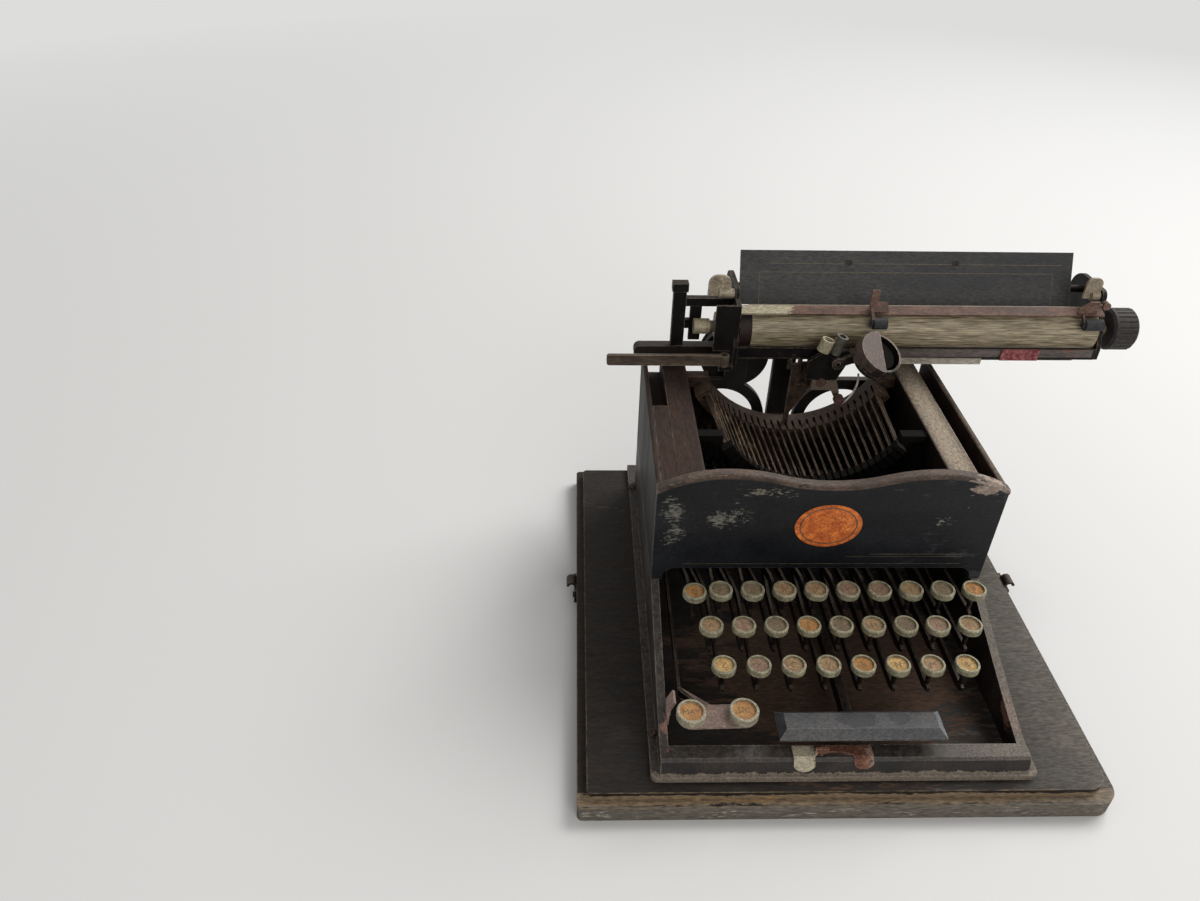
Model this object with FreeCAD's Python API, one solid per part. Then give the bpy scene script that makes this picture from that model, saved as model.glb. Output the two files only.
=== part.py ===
import FreeCAD, Part
import math
import os

# Three-bank typebar writing machine on its wooden base board.
# Millimetres. X to the typist's right, Y away from the typist, Z up.
# Origin: centre of the underside of the base board.

os.makedirs("parts", exist_ok=True)
V = FreeCAD.Vector

# ---- driving dimensions ---------------------------------------------------
# fits
running_gap = 0.05        # radial clearance of a shaft in its hole
sliding_gap = 0.3         # clearance between faces that slide or lift off
pinch = 0.4               # clearance each side of a flat bar in its slot
screw_radius = 2.0        # heads of the small screws
screw_height = 1.0

# wooden base board
board_width = 306.0
board_depth = 307.0
board_height = 17.4
board_rebate = 5.5        # width of the stepped ledge round the edge
board_ledge_height = 11.6
board_corner = 3.0
board_worn_corner = 12.0  # front right corner

# cover latches on the board's sides
latch_y = 24.0
latch_length = 18.0
latch_plate = 1.8
latch_height = 11.0
latch_tongue = 9.0        # length of the curled hook
latch_hook = 3.6          # outer radius of the hook

# base casting
machine_x = -1.9          # machine centre on the board
body_half = 104.6         # outer half width of the iron body
flange_out = 5.2          # flange beyond the side walls
flange_toe = 2.0          # flange in front of the rim's foot
flange_heel = 22.0        # flange behind the body
flange_thick = 4.0
wall_thick = 5.0
rim_front = -137.0        # top front edge of the front rim
rim_depth = 10.0
rim_lean = 2.5            # foot of the rim stands this much further out
rim_chamfer = 1.5
rim_height = 13.6         # above the board
shoulder_height = 47.6    # top of the side walls, above the board
wall_bow = 1.12           # above one, the side walls rise late
body_back = 128.0
flange_corner = 4.0
foot_screw_radius = 2.4
foot_screw_height = 1.4
foot_screw_inset = 2.5    # from the flange's side edge to the screw's middle
foot_screw_end = 30.0     # from the flange's end

# front apron
apron_front = -28.1
apron_thick = 5.0
apron_bottom = 74.5
apron_end_top = 137.0
hump_at = 63.0            # humps lie this far each side of the centre
hump_top = 148.5
dip_top = 139.9
leg_width = 6.6
leg_sweep = 7.0           # width of the curve between leg and lower edge
leg_round = 0.3           # share by which this curve bulges
lip_depth = 6.6
lip_height = 4.0
lip_stand = 0.8           # lip stands in front of the apron
lip_round = 1.3

# side frames
rail_top = 137.0
rail_width = 17.0
gutter_width = 10.0       # between the rail and the outer wall
gutter_floor = 123.0
skirt_bottom = 100.0      # lower edge of the inner skirt
plate_thick = 3.5
cover_back = 62.0         # rear end of the left gutter's cover
cover_drop = 0.4          # cover strip below the rail tops
outer_wall = 3.6
crown_round = 1.4

# rear frame
rear_thick = 5.0
ring_inset = 29.0         # centres of the ring openings, from the frames' rails
ring_height = 86.0
ring_outer = 34.0
ring_inner = 26.0
ring_foot = 72.0          # lowest part of the ring openings
sill_height = 84.0
column_left = -9.0
column_right = 7.0
ring_web = 5.0            # the plate beside a ring runs this far past the rail's edge
lug_half = 8.0            # half width of the lug that carries the drum
lug_over = 2.0            # lug starts this far above the ring opening

# type basket
print_drop = 1.0          # printing point below the platen's axis
pivot_radius = 72.5
pivot_ahead = 5.0         # pivots in front of the platen's face
bar_count = 27
bar_pitch = 4.3           # degrees between neighbouring typebars
bar_thick = 1.2
bar_height = 4.0
bar_rise = 5.0            # typebars rest this many degrees above level
bar_tip_height = 3.0
bar_waist = 8.0           # full height ends this far in front of the pivot
bar_heel = 3.5            # length of a typebar behind its pivot
pivot_pin = 0.85
slug_width = 3.2
slug_up = 3.5             # type slug above and below the middle of its bar
slug_down = 4.0
slug_nose = 1.5           # slug in front of the bar's tip
slug_length = 5.5
segment_inner = 69.0
segment_outer = 80.0
segment_ahead = 4.0       # segment in front of the pivots
segment_behind = 15.0     # segment behind the pivots
slot_behind = 7.0         # slots end this far behind the pivots
slot_floor = 77.2         # distance of the slots' floor from the printing point
segment_span = 59.0
ear_reach = 10.0          # the segment's ears start this far inside its tips
ear_height = 8.0
ear_rise = 1.0
wing_plate = 3.0          # thin wings behind the segment, out to both side frames
wing_drop = 9.0           # their lower edge under the segment's lowest edge
seat_below = 3.0          # seat bar under and over the segment's lowest edge
seat_above = 4.0
rest_reach = 65.0         # front of the type rest, before the pivots
rest_depth = 7.0
rest_thick = 5.0
rest_ear_reach = 6.0
rest_ear_height = 5.0
moving_bars = (3, 8)      # typebars that swing, counted from the left

# keys
key_pitch = 19.05
low_pitch = 20.0
top_count = 10
mid_count = 9
low_count = 8
top_place = (8.4, -57.0, 85.0)        # centre x, y, top of a row
mid_place = (1.2, -77.0, 76.0)
low_place = (0.5, -98.5, 66.5)
first_key_pitch = 15.4    # the first key of the back row stands closer
first_key_drop = 1.5      # and a little lower
ring_radius = 7.0
ring_wall = 1.3
ring_foot_inset = 1.4     # the ring's underside tapers in by this much
ring_foot_rise = 1.2
ring_lip = 0.5
key_ring_height = 5.2
disc_drop = 1.3           # legend disc below the ring's top
disc_thick = 1.0
stem_radius = 1.4
stem_length = 11.8
lever_thick = 1.6
lever_height = 6.0
lever_nose = 4.0          # lever in front of its stem
fulcrum_inset = 10.0      # fulcrum rod, in front of the body's back
fulcrum_z = 45.0
fulcrum_radius = 2.0
lever_eye = 4.6
jog_front = -24.0
jog_back = 0.0
slot_pitch = 6.55
link_behind = 4.0         # pull links behind the typebars' pivots
link_radius = 0.6
link_drop = 1.2           # open end of a link stays this far from the segment
comb_ahead = 7.0          # guide comb in front of the fulcrum rod
comb_depth = 6.0
comb_top = 47.0
comb_bottom = 30.0
comb_under = 1.5          # slots reach this far below the levers
clevis_ear = 3.0
clevis_reach = 7.0
clevis_over = 5.0
clevis_floor = 2.0

# shift and space keys
shift_left_in = 12.0      # shift keys, from the left wall
shift_right_in = 41.7
shift_left_y = -121.0
shift_right_y = -120.2
shift_top = 54.0
shift_radius = 8.3
shift_wall = 1.6
shift_plate_half = 7.6
shift_plate_thick = 1.6
shift_arm_at = 12.0       # arm leaves the plate this far right of the left key
shift_arm_half = 2.5
shift_bend = 14.0         # depth of the bend behind the plate
shift_plate_top = 49.0
shift_bar_in = 7.5        # bar of the shift lever, from the left wall
space_left = -40.5
space_right = 54.0
space_front = -132.0
space_back = -113.0
space_top = 46.5
space_height = 5.5
space_bevel = 4.2
space_lever_x = 5.0
space_lever_thick = 5.0
space_lever_top = 34.5
space_lever_height = 8.5
space_pivot_y = 44.0
space_pivot_z = 28.0
space_pin = 2.5
space_hub = 4.5
space_neck = 5.0          # depth of the bend under the bar

# catch bracket on the rim and spring finger on the left wall
catch_left = -32.0
catch_right = 13.0
catch_lobe = 12.0         # width of the left lobe
catch_side = 11.0         # width of the right lobe
catch_thick = 1.3
catch_depth = 7.0
catch_left_gap = 2.6      # lobes end this far above the flange
catch_right_gap = 4.2
catch_round = 3.4         # rise of the lobes' rounded ends
catch_arch_in = 0.8       # ends of the arch, behind the rim's chamfer
catch_arch = 2.2          # its middle lies this much further back
wing_half = 3.6
wing_thick = 1.2
wing_height = 3.8
wing_stud = 1.2
wing_rise = 1.6
spring_behind = 29.5      # middle of the spring, behind the rim's front
spring_width = 9.0
spring_thick = 1.4
spring_low = 12.6         # above the board
spring_mid = 23.6
spring_high = 31.6
spring_out = 4.6

# carriage
rail_depth = 8.0
rail_height = 10.0
rail_half = 111.0
rail_round = 4.5
rail_foot = 12.0
rail_foot_height = 2.0    # the rail stands this much above the side frames
rail_foot_inset = 8.0     # inner feet, from the inner edge of the frames' rails
channel_left_in = 4.0     # ends of the channel, inside the end plates' outer faces
channel_right_in = 6.0
channel_wall = 2.6
channel_skirt = 8.0
platen_ahead = 5.0        # platen's axis in front of the rail
platen_z = 168.0
platen_radius = 15.0
platen_bare = 11.5        # sleeve starts this far right of the left plate's outer face
platen_left_gap = 0.7     # between the dark end piece and the left plate
platen_right_gap = 1.7
platen_wall = 3.0
axle_radius = 4.0
axle_out = 27.0           # axle beyond the left plate
plate_left_x = -46.0      # outer face of the left end plate
plate_right_x = 209.0     # outer face of the right end plate
end_plate_thick = 2.8
bearing_radius = 12.5     # round bearing of the axle in an end plate
cheek_radius = 15.0       # rounded rear top of an end plate
cheek_back = 3.0          # its centre, behind and below the shaft
cheek_drop = 6.0
boss_radius = 5.0         # boss of the release lever's stud
panel_ahead = 13.5        # tall front panel of the left plate, from the axis
panel_top = 22.0
panel_flange = 14.0       # the panel's edge is folded outwards by this much
panel_low = 12.0
leg_drop = 22.0           # leg of the left plate below the axis
leg_deep = 6.0
seat_length = 6.0         # seats of the platen frame on the channel
seat_depth = 4.6
seat_height = 3.0
shaft_radius = 2.6
shaft_ahead = 24.1        # shaft behind and above the platen's axis
shaft_over = 19.0
knob_off = 7.0            # between the right plate and the knob
knob_length = 17.6
knob_radius = 14.6
knob_chamfer = 1.6
knob_ribs = 24
rib_radius = 1.1
rib_out = 0.4             # centres of the grooves outside the knob
rib_start = 3.0
collar_step = 0.8         # dark end of the platen is this much slimmer
ratchet_radius = 10.0
ratchet_teeth = 20
ratchet_bite = 1.8
ratchet_thick = 4.0
ratchet_off = 8.0         # wheel this far outside the end plate
ratchet_hub = 6.5
nut_radius = 5.4
nut_off = 16.0
table_left_in = 6.0       # ends of the paper table, from the plates' outer faces
table_right_in = 15.0
table_low = (13.6, 10.0)  # lower front edge, behind and above the platen's axis
table_high = (30.0, 43.5)
table_thick = 1.6
rivet_left = 76.0         # rivets, from the table's left edge
rivet_right = 151.0
rivet_height = 0.78       # share of the table's slope
rivet_radius = 2.4
rivet_thick = 1.1
strap_inset = 30.0        # straps, from the table's ends
strap_half = 6.0
bar_ahead = 16.0          # front face of the bar under the platen, before its axis
bar_deep = 2.5
bar_under = 16.0          # lower edge of this bar, below the axis
bar_tall = 8.0
bail_low = (-11.0, 15.6)  # edges of the paper bail, from the platen's axis
bail_high = (-4.0, 18.4)
bail_thick = 1.4
finger_x = 51.0
roll_radius = 4.0
roll_length = 9.0
roll_angle = 145.0
bail_roll_inset = 15.0    # bail roll, from the right end plate
bail_roll_length = 12.0
finger_bar = 3.4          # width of the paper finger's flat arm
finger_thick = 1.8
finger_tab = 13.0         # finger's tab stands this far above the bail
catch_plate_left = 19.0   # bail catch, from the right end plate's inner face
catch_plate_right = 6.0
catch_plate_tall = 10.0
catch_button = 2.6
catch_button_off = 4.5    # button to the right of the catch
lever_tip = -133.0
lever_root = -52.0
lever_under = 21.0        # line space lever below the platen's axis
lever_tall = 8.0
lever_deep = 2.6
lever_pin = 1.6
lever_eye_radius = 3.4
lever_tip_round = 2.0
lug_drop = 4.0            # lug under the line space lever
lug_root = 3.0
post_x = -83.0
post_width = 9.0
post_depth = 5.0
post_behind = 4.0         # front face of the post behind the platen's axis
post_over = 30.0          # top of the post above the axis
cap_height = 6.0
cap_rim = 1.0
post_gap = 1.2            # foot of the post above the rail
post_arm_low = 13.0       # arm from the end plate to the post, above the axis
post_arm_high = 19.0
strut_left = -75.0        # upright strut between the post's two arms
strut_right = -67.0
strut_ahead = 6.0         # strut's front face behind the axis
strut_deep = 3.0
strut_low = -14.0         # from the axis
stay_low = -5.0           # lower arm, from the axis
stay_high = 2.0
tab_left = 15.5           # width of the left thumb tab of the release lever
tab_right = 11.0
tab_left_off = 3.0        # tabs stand this far from the end plates
tab_right_off = 0.6
tab_thick = 1.8
tab_round = 0.42          # corner radius as a share of a tab's width
tab_low = 1.5             # tab's lower edge under the pivot
tab_top = 13.5
release_behind = 3.0      # pivot of the release lever, from the platen's axis
release_over = 23.5
release_hub = 3.2
drum_x = -38.0
drum_z = 134.0
drum_radius = 25.0
drum_gap = 1.0            # between the carriage channel and the drum
drum_depth = 10.0
drum_flange = 1.2
drum_hub = 8.0

# front scale, felt and lower strip
scale_left = 35.4
scale_right = 127.0
scale_thick = 1.2
scale_below = 3.4         # scale reaches this far under the bar
scale_above = 1.2
felt_left = 139.5
felt_right = 166.0
felt_thick = 1.6
strip_left = 34.0
strip_right_in = 5.0      # from the right plate's outer face
strip_thick = 0.6
strip_above = 2.0

# inking and type guide
guide_width = 3.2
guide_head = 10.0
guide_depth = 2.4
guide_behind = 4.4        # guide behind the typebars' pivots
guide_tines = 8.0
guide_notch = 4.0
guide_slack = 0.6
guide_gap = 0.9           # guide under the bar below the platen
guide_leg = 14.4          # widest place of the leg that carries the inking gear
guide_leg_drop = 36.0     # that place, below the printing point
guide_leg_foot = 60.0     # lower end of the leg
ink_front = 6.0           # inking plate in front of the pivots
ink_plate = 3.4
ink_left = 4.0            # outline of the plate, drops from the printing point
ink_right = 31.5
ink_neck = 15.0
ink_foot_left = 9.0
ink_foot_right = 23.0
ink_top_drop = 4.0
ink_side_drop = 12.0
ink_arm_drop = 26.0
ink_foot_drop = 34.5
ink_link_tall = 4.8       # link between the plate and the type guide
ink_screw_x = 15.3
ink_screw_drop = 28.4
ink_screw = 3.2
ink_knob_x = 27.4
ink_knob_drop = 37.6
ink_knob = 3.6
ink_knob_length = 9.0
ink_shank = 1.2
tube_wall = 1.3           # two oiler tubes at the top of the plate
tube_bore = 4.0
tube_ahead = 0.6          # their axis in front of the plate
left_tube = 4.4
left_tube_top = (15.0, 5.5)
left_tube_foot = (12.4, -3.0)
right_tube = 3.9
right_tube_top = (24.3, 8.0)
right_tube_foot = (20.6, -4.6)
wire_x = 12.7             # centre of the bent wire under the cup
wire_drop = 22.4
wire_bend = 25.2
wire_start = -47.0
wire_sweep = 60.0
wire_radius = 0.7
ink_pin_x = 23.6
ink_pin_z = -12.0         # pin of the cup, above the printing point
ink_pin = 1.6
ink_eye = 4.0
ink_arm = 3.0
cup_x = 46.0
cup_y = -17.0             # from the pivots
cup_z = -2.0              # from the printing point
cup_lean = (0.31, -0.44, 0.84)
cup_radius = 14.5
cup_depth = 12.0
cup_wall = 1.2
cup_flap = 8.0            # the lid is folded down the side by this much

# ---- worked out from the driving dimensions -------------------------------
board_top = board_height
flange_top = board_top + flange_thick
flange_half = body_half + flange_out
flange_front = rim_front - rim_lean - flange_toe
flange_back = body_back + flange_heel
rail_outer = body_half - outer_wall - gutter_width
rail_inner = rail_outer - rail_width
rail_back = body_back
rail_front = rail_back - rail_depth
ring_centre = rail_inner - ring_inset
fulcrum_y = body_back - fulcrum_inset
platen_y = rail_front - platen_ahead
rim_top = board_top + rim_height
shoulder = board_top + shoulder_height
body_left = machine_x - body_half
body_right = machine_x + body_half
wall_left = body_left + wall_thick
wall_right = body_right - wall_thick
shift_left = (wall_left + shift_left_in, shift_left_y)
shift_right = (wall_left + shift_right_in, shift_right_y)
shift_bar_x = wall_left + shift_bar_in
apron_back = apron_front + apron_thick
rail_under = rail_top + rail_foot_height
rail_over = rail_under + rail_height
channel_top = rail_over + sliding_gap + channel_wall
channel_front = rail_front - sliding_gap - channel_wall
channel_back = rail_back + sliding_gap + channel_wall
drum_front = channel_back + drum_gap
platen_face = platen_y - platen_radius
print_height = platen_z - print_drop
plate_left_in = plate_left_x + end_plate_thick
plate_right_in = plate_right_x - end_plate_thick
channel_left = plate_left_x + channel_left_in
channel_right = plate_right_x - channel_right_in
platen_left = plate_left_x + platen_bare
platen_end = plate_left_in + platen_left_gap
platen_right = plate_right_in - platen_right_gap
axle_left = plate_left_x - axle_out
knob_left = plate_right_x + knob_off
table_left = plate_left_x + table_left_in
table_right = plate_right_x - table_right_in
strip_right = plate_right_x - strip_right_in
pivot_y = platen_face - pivot_ahead
segment_front = pivot_y - segment_ahead
segment_back = pivot_y + segment_behind
slot_back = pivot_y + slot_behind
rest_front = pivot_y - rest_reach
link_y = pivot_y + link_behind
comb_back = fulcrum_y - comb_ahead
comb_front = comb_back - comb_depth
bar_front = platen_y - bar_ahead
bar_low = platen_z - bar_under
link_top = bar_low - scale_below - 2 * sliding_gap
bar_high = bar_low + bar_tall
lever_front = bar_front - lever_deep
lever_low = platen_z - lever_under
lever_high = lever_low + lever_tall
end_plate_back = channel_back
seat_low = channel_top + sliding_gap
shaft_y = platen_y + shaft_ahead
shaft_z = platen_z + shaft_over
release_y = platen_y + release_behind
release_z = platen_z + release_over
roll_reach = platen_radius + roll_radius + sliding_gap
roll_y = platen_y + roll_reach * math.cos(math.radians(roll_angle))
roll_z = platen_z + roll_reach * math.sin(math.radians(roll_angle))


# ---- helpers --------------------------------------------------------------
def block(x0, x1, y0, y1, z0, z1):
    return Part.makeBox(x1 - x0, y1 - y0, z1 - z0, V(x0, y0, z0))


def rod(start, end, radius):
    span = end - start
    return Part.makeCylinder(radius, span.Length, start, span)


def outline(points):
    return Part.Face(Part.makePolygon(points + [points[0]]))


def profile_along_y(corners, y0, y1):
    """Extrude an outline of (x, z) corners from y0 to y1."""
    face = outline([V(x, y0, z) for x, z in corners])
    return face.extrude(V(0, y1 - y0, 0))


def profile_along_x(corners, x0, x1):
    """Extrude an outline of (y, z) corners from x0 to x1."""
    face = outline([V(x0, y, z) for y, z in corners])
    return face.extrude(V(x1 - x0, 0, 0))


def profile_along_z(corners, z0, z1):
    """Extrude an outline of (x, y) corners from z0 to z1."""
    face = outline([V(x, y, z0) for x, y in corners])
    return face.extrude(V(0, 0, z1 - z0))


def fuse(solids):
    joined = solids[0].multiFuse(solids[1:]) if len(solids) > 1 else solids[0]
    return joined.removeSplitter()


def spun(corners, centre, axis=V(0, 0, 1), side=V(1, 0, 0)):
    """Turn an outline of (radius, height) corners about an axis."""
    points = [centre + side * radius + axis * height for radius, height in corners]
    return outline(points).revolve(centre, axis, 360)


def edges_along(solid, direction, where):
    """Straight edges parallel to direction whose middle passes the test."""
    found = []
    for edge in solid.Edges:
        if len(edge.Vertexes) != 2:
            continue
        run = edge.Vertexes[1].Point - edge.Vertexes[0].Point
        if run.Length < 1e-6 or abs(abs(run.normalize().dot(direction)) - 1) > 1e-6:
            continue
        if where(edge.CenterOfMass):
            found.append(edge)
    return found


def slanted_plate(low, high, thick, x0, x1):
    """Flat plate along X between two (y, z) edges, thickened behind its face."""
    run_y = high[0] - low[0]
    run_z = high[1] - low[1]
    length = math.hypot(run_y, run_z)
    back_y = thick * run_z / length
    back_z = -thick * run_y / length
    corners = [low, high, (high[0] + back_y, high[1] + back_z), (low[0] + back_y, low[1] + back_z)]
    return profile_along_x(corners, x0, x1)


def save(name, *solids):
    for number, solid in enumerate(solids):
        if not solid.isValid() or len(solid.Solids) != 1:
            print("check", name, number, "valid", solid.isValid(), "solids", len(solid.Solids))
    shape = Part.makeCompound([solid.Solids[0] for solid in solids])
    shape.exportStep("parts/" + name + ".step")


# ---- base board -----------------------------------------------------------
def base_board():
    half_w = board_width / 2
    half_d = board_depth / 2
    ledge = block(-half_w, half_w, -half_d, half_d, 0, board_ledge_height)
    inner_w = half_w - board_rebate
    inner_d = half_d - board_rebate
    panel = block(-inner_w, inner_w, -inner_d, inner_d, 0, board_top)

    def worn(point):
        return point.x > 0 and point.y < 0

    def sharp(point):
        return not worn(point)

    rounded = []
    for slab in (ledge, panel):
        slab = slab.makeFillet(board_corner, edges_along(slab, V(0, 0, 1), sharp))
        slab = slab.makeFillet(board_worn_corner, edges_along(slab, V(0, 0, 1), worn))
        rounded.append(slab)
    save("base_board", fuse(rounded))


def board_latches():
    half_w = board_width / 2
    solids = []
    for side in (-1, 1):
        face = side * half_w
        x0, x1 = sorted((face, face + side * latch_plate))
        y0 = latch_y - latch_length / 2
        y1 = latch_y + latch_length / 2
        plate_low = board_ledge_height - latch_height
        plate = block(x0, x1, y0, y1, plate_low, board_ledge_height)
        centre = V(face + side * latch_hook, latch_y - latch_tongue / 2, board_ledge_height)
        curl = Part.makeCylinder(latch_hook, latch_tongue, centre, V(0, 1, 0))
        bore = Part.makeCylinder(latch_hook - latch_plate, latch_tongue, centre, V(0, 1, 0))
        around = 2 * latch_hook
        low_half = block(centre.x - around, centre.x + around, y0, y1, centre.z - around, centre.z)
        hook = curl.cut(bore).cut(low_half)
        solids.append(fuse([plate, hook]))
        for step in (-1, 1):
            screw = V(face + side * latch_plate, latch_y + step * latch_length / 3, board_ledge_height / 2)
            solids.append(Part.makeCylinder(screw_radius, screw_height, screw, V(side, 0, 0)))
    save("board_latches", *solids)


# ---- cast body ------------------------------------------------------------
def base_casting():
    flange = block(machine_x - flange_half, machine_x + flange_half,
                   flange_front, flange_back, board_top, flange_top)
    rim_back = rim_front + rim_depth
    rim = profile_along_x([(rim_front - rim_lean, board_top), (rim_front - rim_lean, flange_top),
                           (rim_front, rim_top - rim_chamfer), (rim_front + rim_chamfer, rim_top),
                           (rim_back, rim_top), (rim_back, board_top)], body_left, body_right)
    # side walls sweep up from the rim to the shoulder under the apron
    steps = 6
    sweep = []
    for step in range(steps + 1):
        share = step / steps
        along = rim_back + share * (apron_front - rim_back)
        rise = rim_top + (shoulder - rim_top) * share ** wall_bow
        sweep.append((along, rise))
    side = [(rim_front, board_top), (rim_front, rim_top - rim_chamfer), (rim_front + rim_chamfer, rim_top)]
    side += sweep
    side += [(body_back, shoulder), (body_back, board_top)]
    left = profile_along_x(side, body_left, wall_left)
    right = profile_along_x(side, wall_right, body_right)
    back = block(body_left, body_right, body_back - wall_thick, body_back, board_top, shoulder)
    hollow = block(wall_left, wall_right, rim_back, body_back - wall_thick, 0, rail_top)
    frame = fuse([flange, rim, left, right, back]).cut(hollow)
    corners = edges_along(frame, V(0, 0, 1), lambda p: p.y < flange_front + flange_toe / 2)
    frame = frame.makeFillet(flange_corner, corners)
    solids = [frame]
    reach = flange_half - foot_screw_inset
    for x in (machine_x - reach, machine_x + reach):
        for y in (flange_front + foot_screw_end, flange_back - foot_screw_end):
            seat = V(x, y, flange_top)
            solids.append(Part.makeCylinder(foot_screw_radius, foot_screw_height, seat))
    save("base_casting", *solids)


def arc_fall(run, fall, along):
    """Height lost after along on an arc that starts level and falls by fall over run."""
    radius = (run * run + fall * fall) / (2 * fall)
    return radius - math.sqrt(radius * radius - along * along)


def apron_curve(y, lower):
    """Edges of the apron's upper outline from left to right, moved down by lower."""
    half_rise = (hump_top - dip_top) / 2
    waist = hump_at / 2
    waist_z = dip_top + half_rise
    tail = body_half - hump_at
    hump_z = hump_top - arc_fall(waist, half_rise, waist / 2)
    tail_z = hump_top - arc_fall(tail, hump_top - apron_end_top, tail / 2)

    def at(across, z):
        return V(machine_x + across, y, z - lower)

    right = [at(waist, waist_z), at(hump_at - waist / 2, hump_z), at(hump_at, hump_top),
             at(hump_at + tail / 2, tail_z), at(body_half, apron_end_top)]
    left = [V(2 * machine_x - point.x, y, point.z) for point in right]
    return [Part.Arc(left[4], left[3], left[2]).toShape(), Part.Arc(left[2], left[1], left[0]).toShape(),
            Part.Arc(left[0], at(0, dip_top), right[0]).toShape(),
            Part.Arc(right[0], right[1], right[2]).toShape(),
            Part.Arc(right[2], right[3], right[4]).toShape()]


def ends_of(curve):
    return curve[0].Vertexes[0].Point, curve[-1].Vertexes[-1].Point


def apron_lip():
    """Rounded rib along the apron's upper edge."""
    lip_front = apron_front - lip_stand
    upper = apron_curve(lip_front, 0)
    lower = apron_curve(lip_front, lip_height)
    upper_left, upper_right = ends_of(upper)
    lower_left, lower_right = ends_of(lower)
    band = Part.Wire(upper + [Part.makeLine(upper_right, lower_right)] + lower[::-1]
                     + [Part.makeLine(lower_left, upper_left)])
    lip = Part.Face(band).extrude(V(0, lip_depth, 0))
    long_edges = [edge for edge in lip.Edges if edge.Curve.TypeId == "Part::GeomCircle"]
    return lip.makeFillet(lip_round, long_edges)


def front_apron():
    top = apron_curve(apron_front, lip_height / 2)
    left, right = ends_of(top)
    inner = body_half - leg_width
    notch = inner - leg_sweep
    foot = [V(right.x, apron_front, shoulder), V(machine_x + inner, apron_front, shoulder)]
    under = [V(machine_x + notch, apron_front, apron_bottom), V(machine_x - notch, apron_front, apron_bottom)]
    other = [V(machine_x - inner, apron_front, shoulder), V(left.x, apron_front, shoulder)]
    bend = leg_round * leg_sweep
    drop = leg_round * (apron_bottom - shoulder)
    turn_right = V(machine_x + inner - bend, apron_front, apron_bottom - drop)
    turn_left = V(machine_x - inner + bend, apron_front, apron_bottom - drop)
    edges = top + [Part.makeLine(right, foot[0]), Part.makeLine(foot[0], foot[1]),
                   Part.Arc(foot[1], turn_right, under[0]).toShape(), Part.makeLine(under[0], under[1]),
                   Part.Arc(under[1], turn_left, other[0]).toShape(), Part.makeLine(other[0], other[1]),
                   Part.makeLine(other[1], left)]
    plate = Part.Face(Part.Wire(edges)).extrude(V(0, apron_thick, 0))
    save("front_apron", plate.fuse(apron_lip()))


def side_frame(name, side):
    def at(across):
        return machine_x + side * across
    wall_in = body_half - outer_wall
    floor = gutter_floor
    low_floor = gutter_floor - plate_thick
    corners = [(body_half, shoulder), (body_half, rail_top), (wall_in, rail_top), (wall_in, floor),
               (rail_outer, floor), (rail_outer, rail_top), (rail_inner, rail_top),
               (rail_inner, skirt_bottom), (rail_inner + plate_thick, skirt_bottom),
               (rail_inner + plate_thick, rail_top - plate_thick),
               (rail_outer - plate_thick, rail_top - plate_thick),
               (rail_outer - plate_thick, low_floor), (wall_in, low_floor), (wall_in, shoulder)]
    frame = profile_along_y([(at(x), z) for x, z in corners], apron_back, body_back)
    crown = edges_along(frame, V(0, 1, 0),
                        lambda p: abs(p.z - rail_top) < 0.01 and abs(p.x - machine_x) > wall_in - 0.01)
    frame = frame.makeFillet(crown_round, crown)
    edge = edges_along(frame, V(0, 1, 0),
                       lambda p: abs(p.z - rail_top) < 0.01 and abs(p.x - machine_x) < rail_inner + 0.01)
    frame = frame.makeFillet(crown_round, edge)
    lip = apron_lip()
    solids = [frame.cut(lip)]
    if side < 0:
        x0, x1 = sorted((at(rail_outer), at(wall_in)))
        cover = block(x0, x1, apron_back, cover_back, rail_top - plate_thick, rail_top - cover_drop)
        solids.append(cover.cut(lip))
    save(name, *solids)


def rear_frame():
    front = body_back - rear_thick
    reach = body_half - outer_wall
    pieces = [block(machine_x - reach, machine_x + reach, front, body_back, shoulder, sill_height)]
    cuts = [block(body_left, body_right, front, body_back, 0, shoulder)]
    for side in (-1, 1):
        centre = V(machine_x + side * ring_centre, front, ring_height)
        pieces.append(Part.makeCylinder(ring_outer, rear_thick, centre, V(0, 1, 0)))
        x0, x1 = sorted((centre.x, machine_x + side * rail_inner))
        pieces.append(block(x0, x1, front, body_back, shoulder, ring_height + ring_outer))
        x0, x1 = sorted((machine_x + side * (rail_inner - ring_web), machine_x + side * reach))
        pieces.append(block(x0, x1, front, body_back, shoulder, skirt_bottom))
        x0, x1 = sorted((machine_x + side * rail_inner, machine_x + side * body_half))
        cuts.append(block(x0, x1, front, body_back, skirt_bottom, rail_top))
        hole = Part.makeCylinder(ring_inner, rear_thick, centre, V(0, 1, 0))
        guard = block(centre.x - ring_inner, centre.x + ring_inner, front, body_back, 0, ring_foot)
        cuts.append(hole.cut(guard))
    pieces.append(block(machine_x + column_left, machine_x + column_right, front, body_back,
                        shoulder, rail_under))
    pieces.append(block(drum_x - lug_half, drum_x + lug_half, front, body_back,
                        ring_height + ring_inner + lug_over, rail_under))
    plate = fuse(pieces)
    for cut in cuts:
        plate = plate.cut(cut)
    end = drum_front + drum_depth + 2 * drum_flange
    stud = rod(V(drum_x, body_back, drum_z), V(drum_x, end, drum_z), axle_radius)
    save("rear_frame", plate.fuse(stud))


# ---- type basket ----------------------------------------------------------
def bar_angle(number):
    """Degrees of a typebar's seat from straight down, positive to the right."""
    return (number - (bar_count - 1) / 2) * bar_pitch


def basket_point(angle, radius, y):
    turn = math.radians(angle)
    return V(machine_x + radius * math.sin(turn), y, print_height - radius * math.cos(turn))


def to_seat(shape, angle):
    """Turn a shape made at the bottom of the basket to its own seat."""
    shape.rotate(V(machine_x, 0, print_height), V(0, 1, 0), -angle)
    return shape


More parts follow.
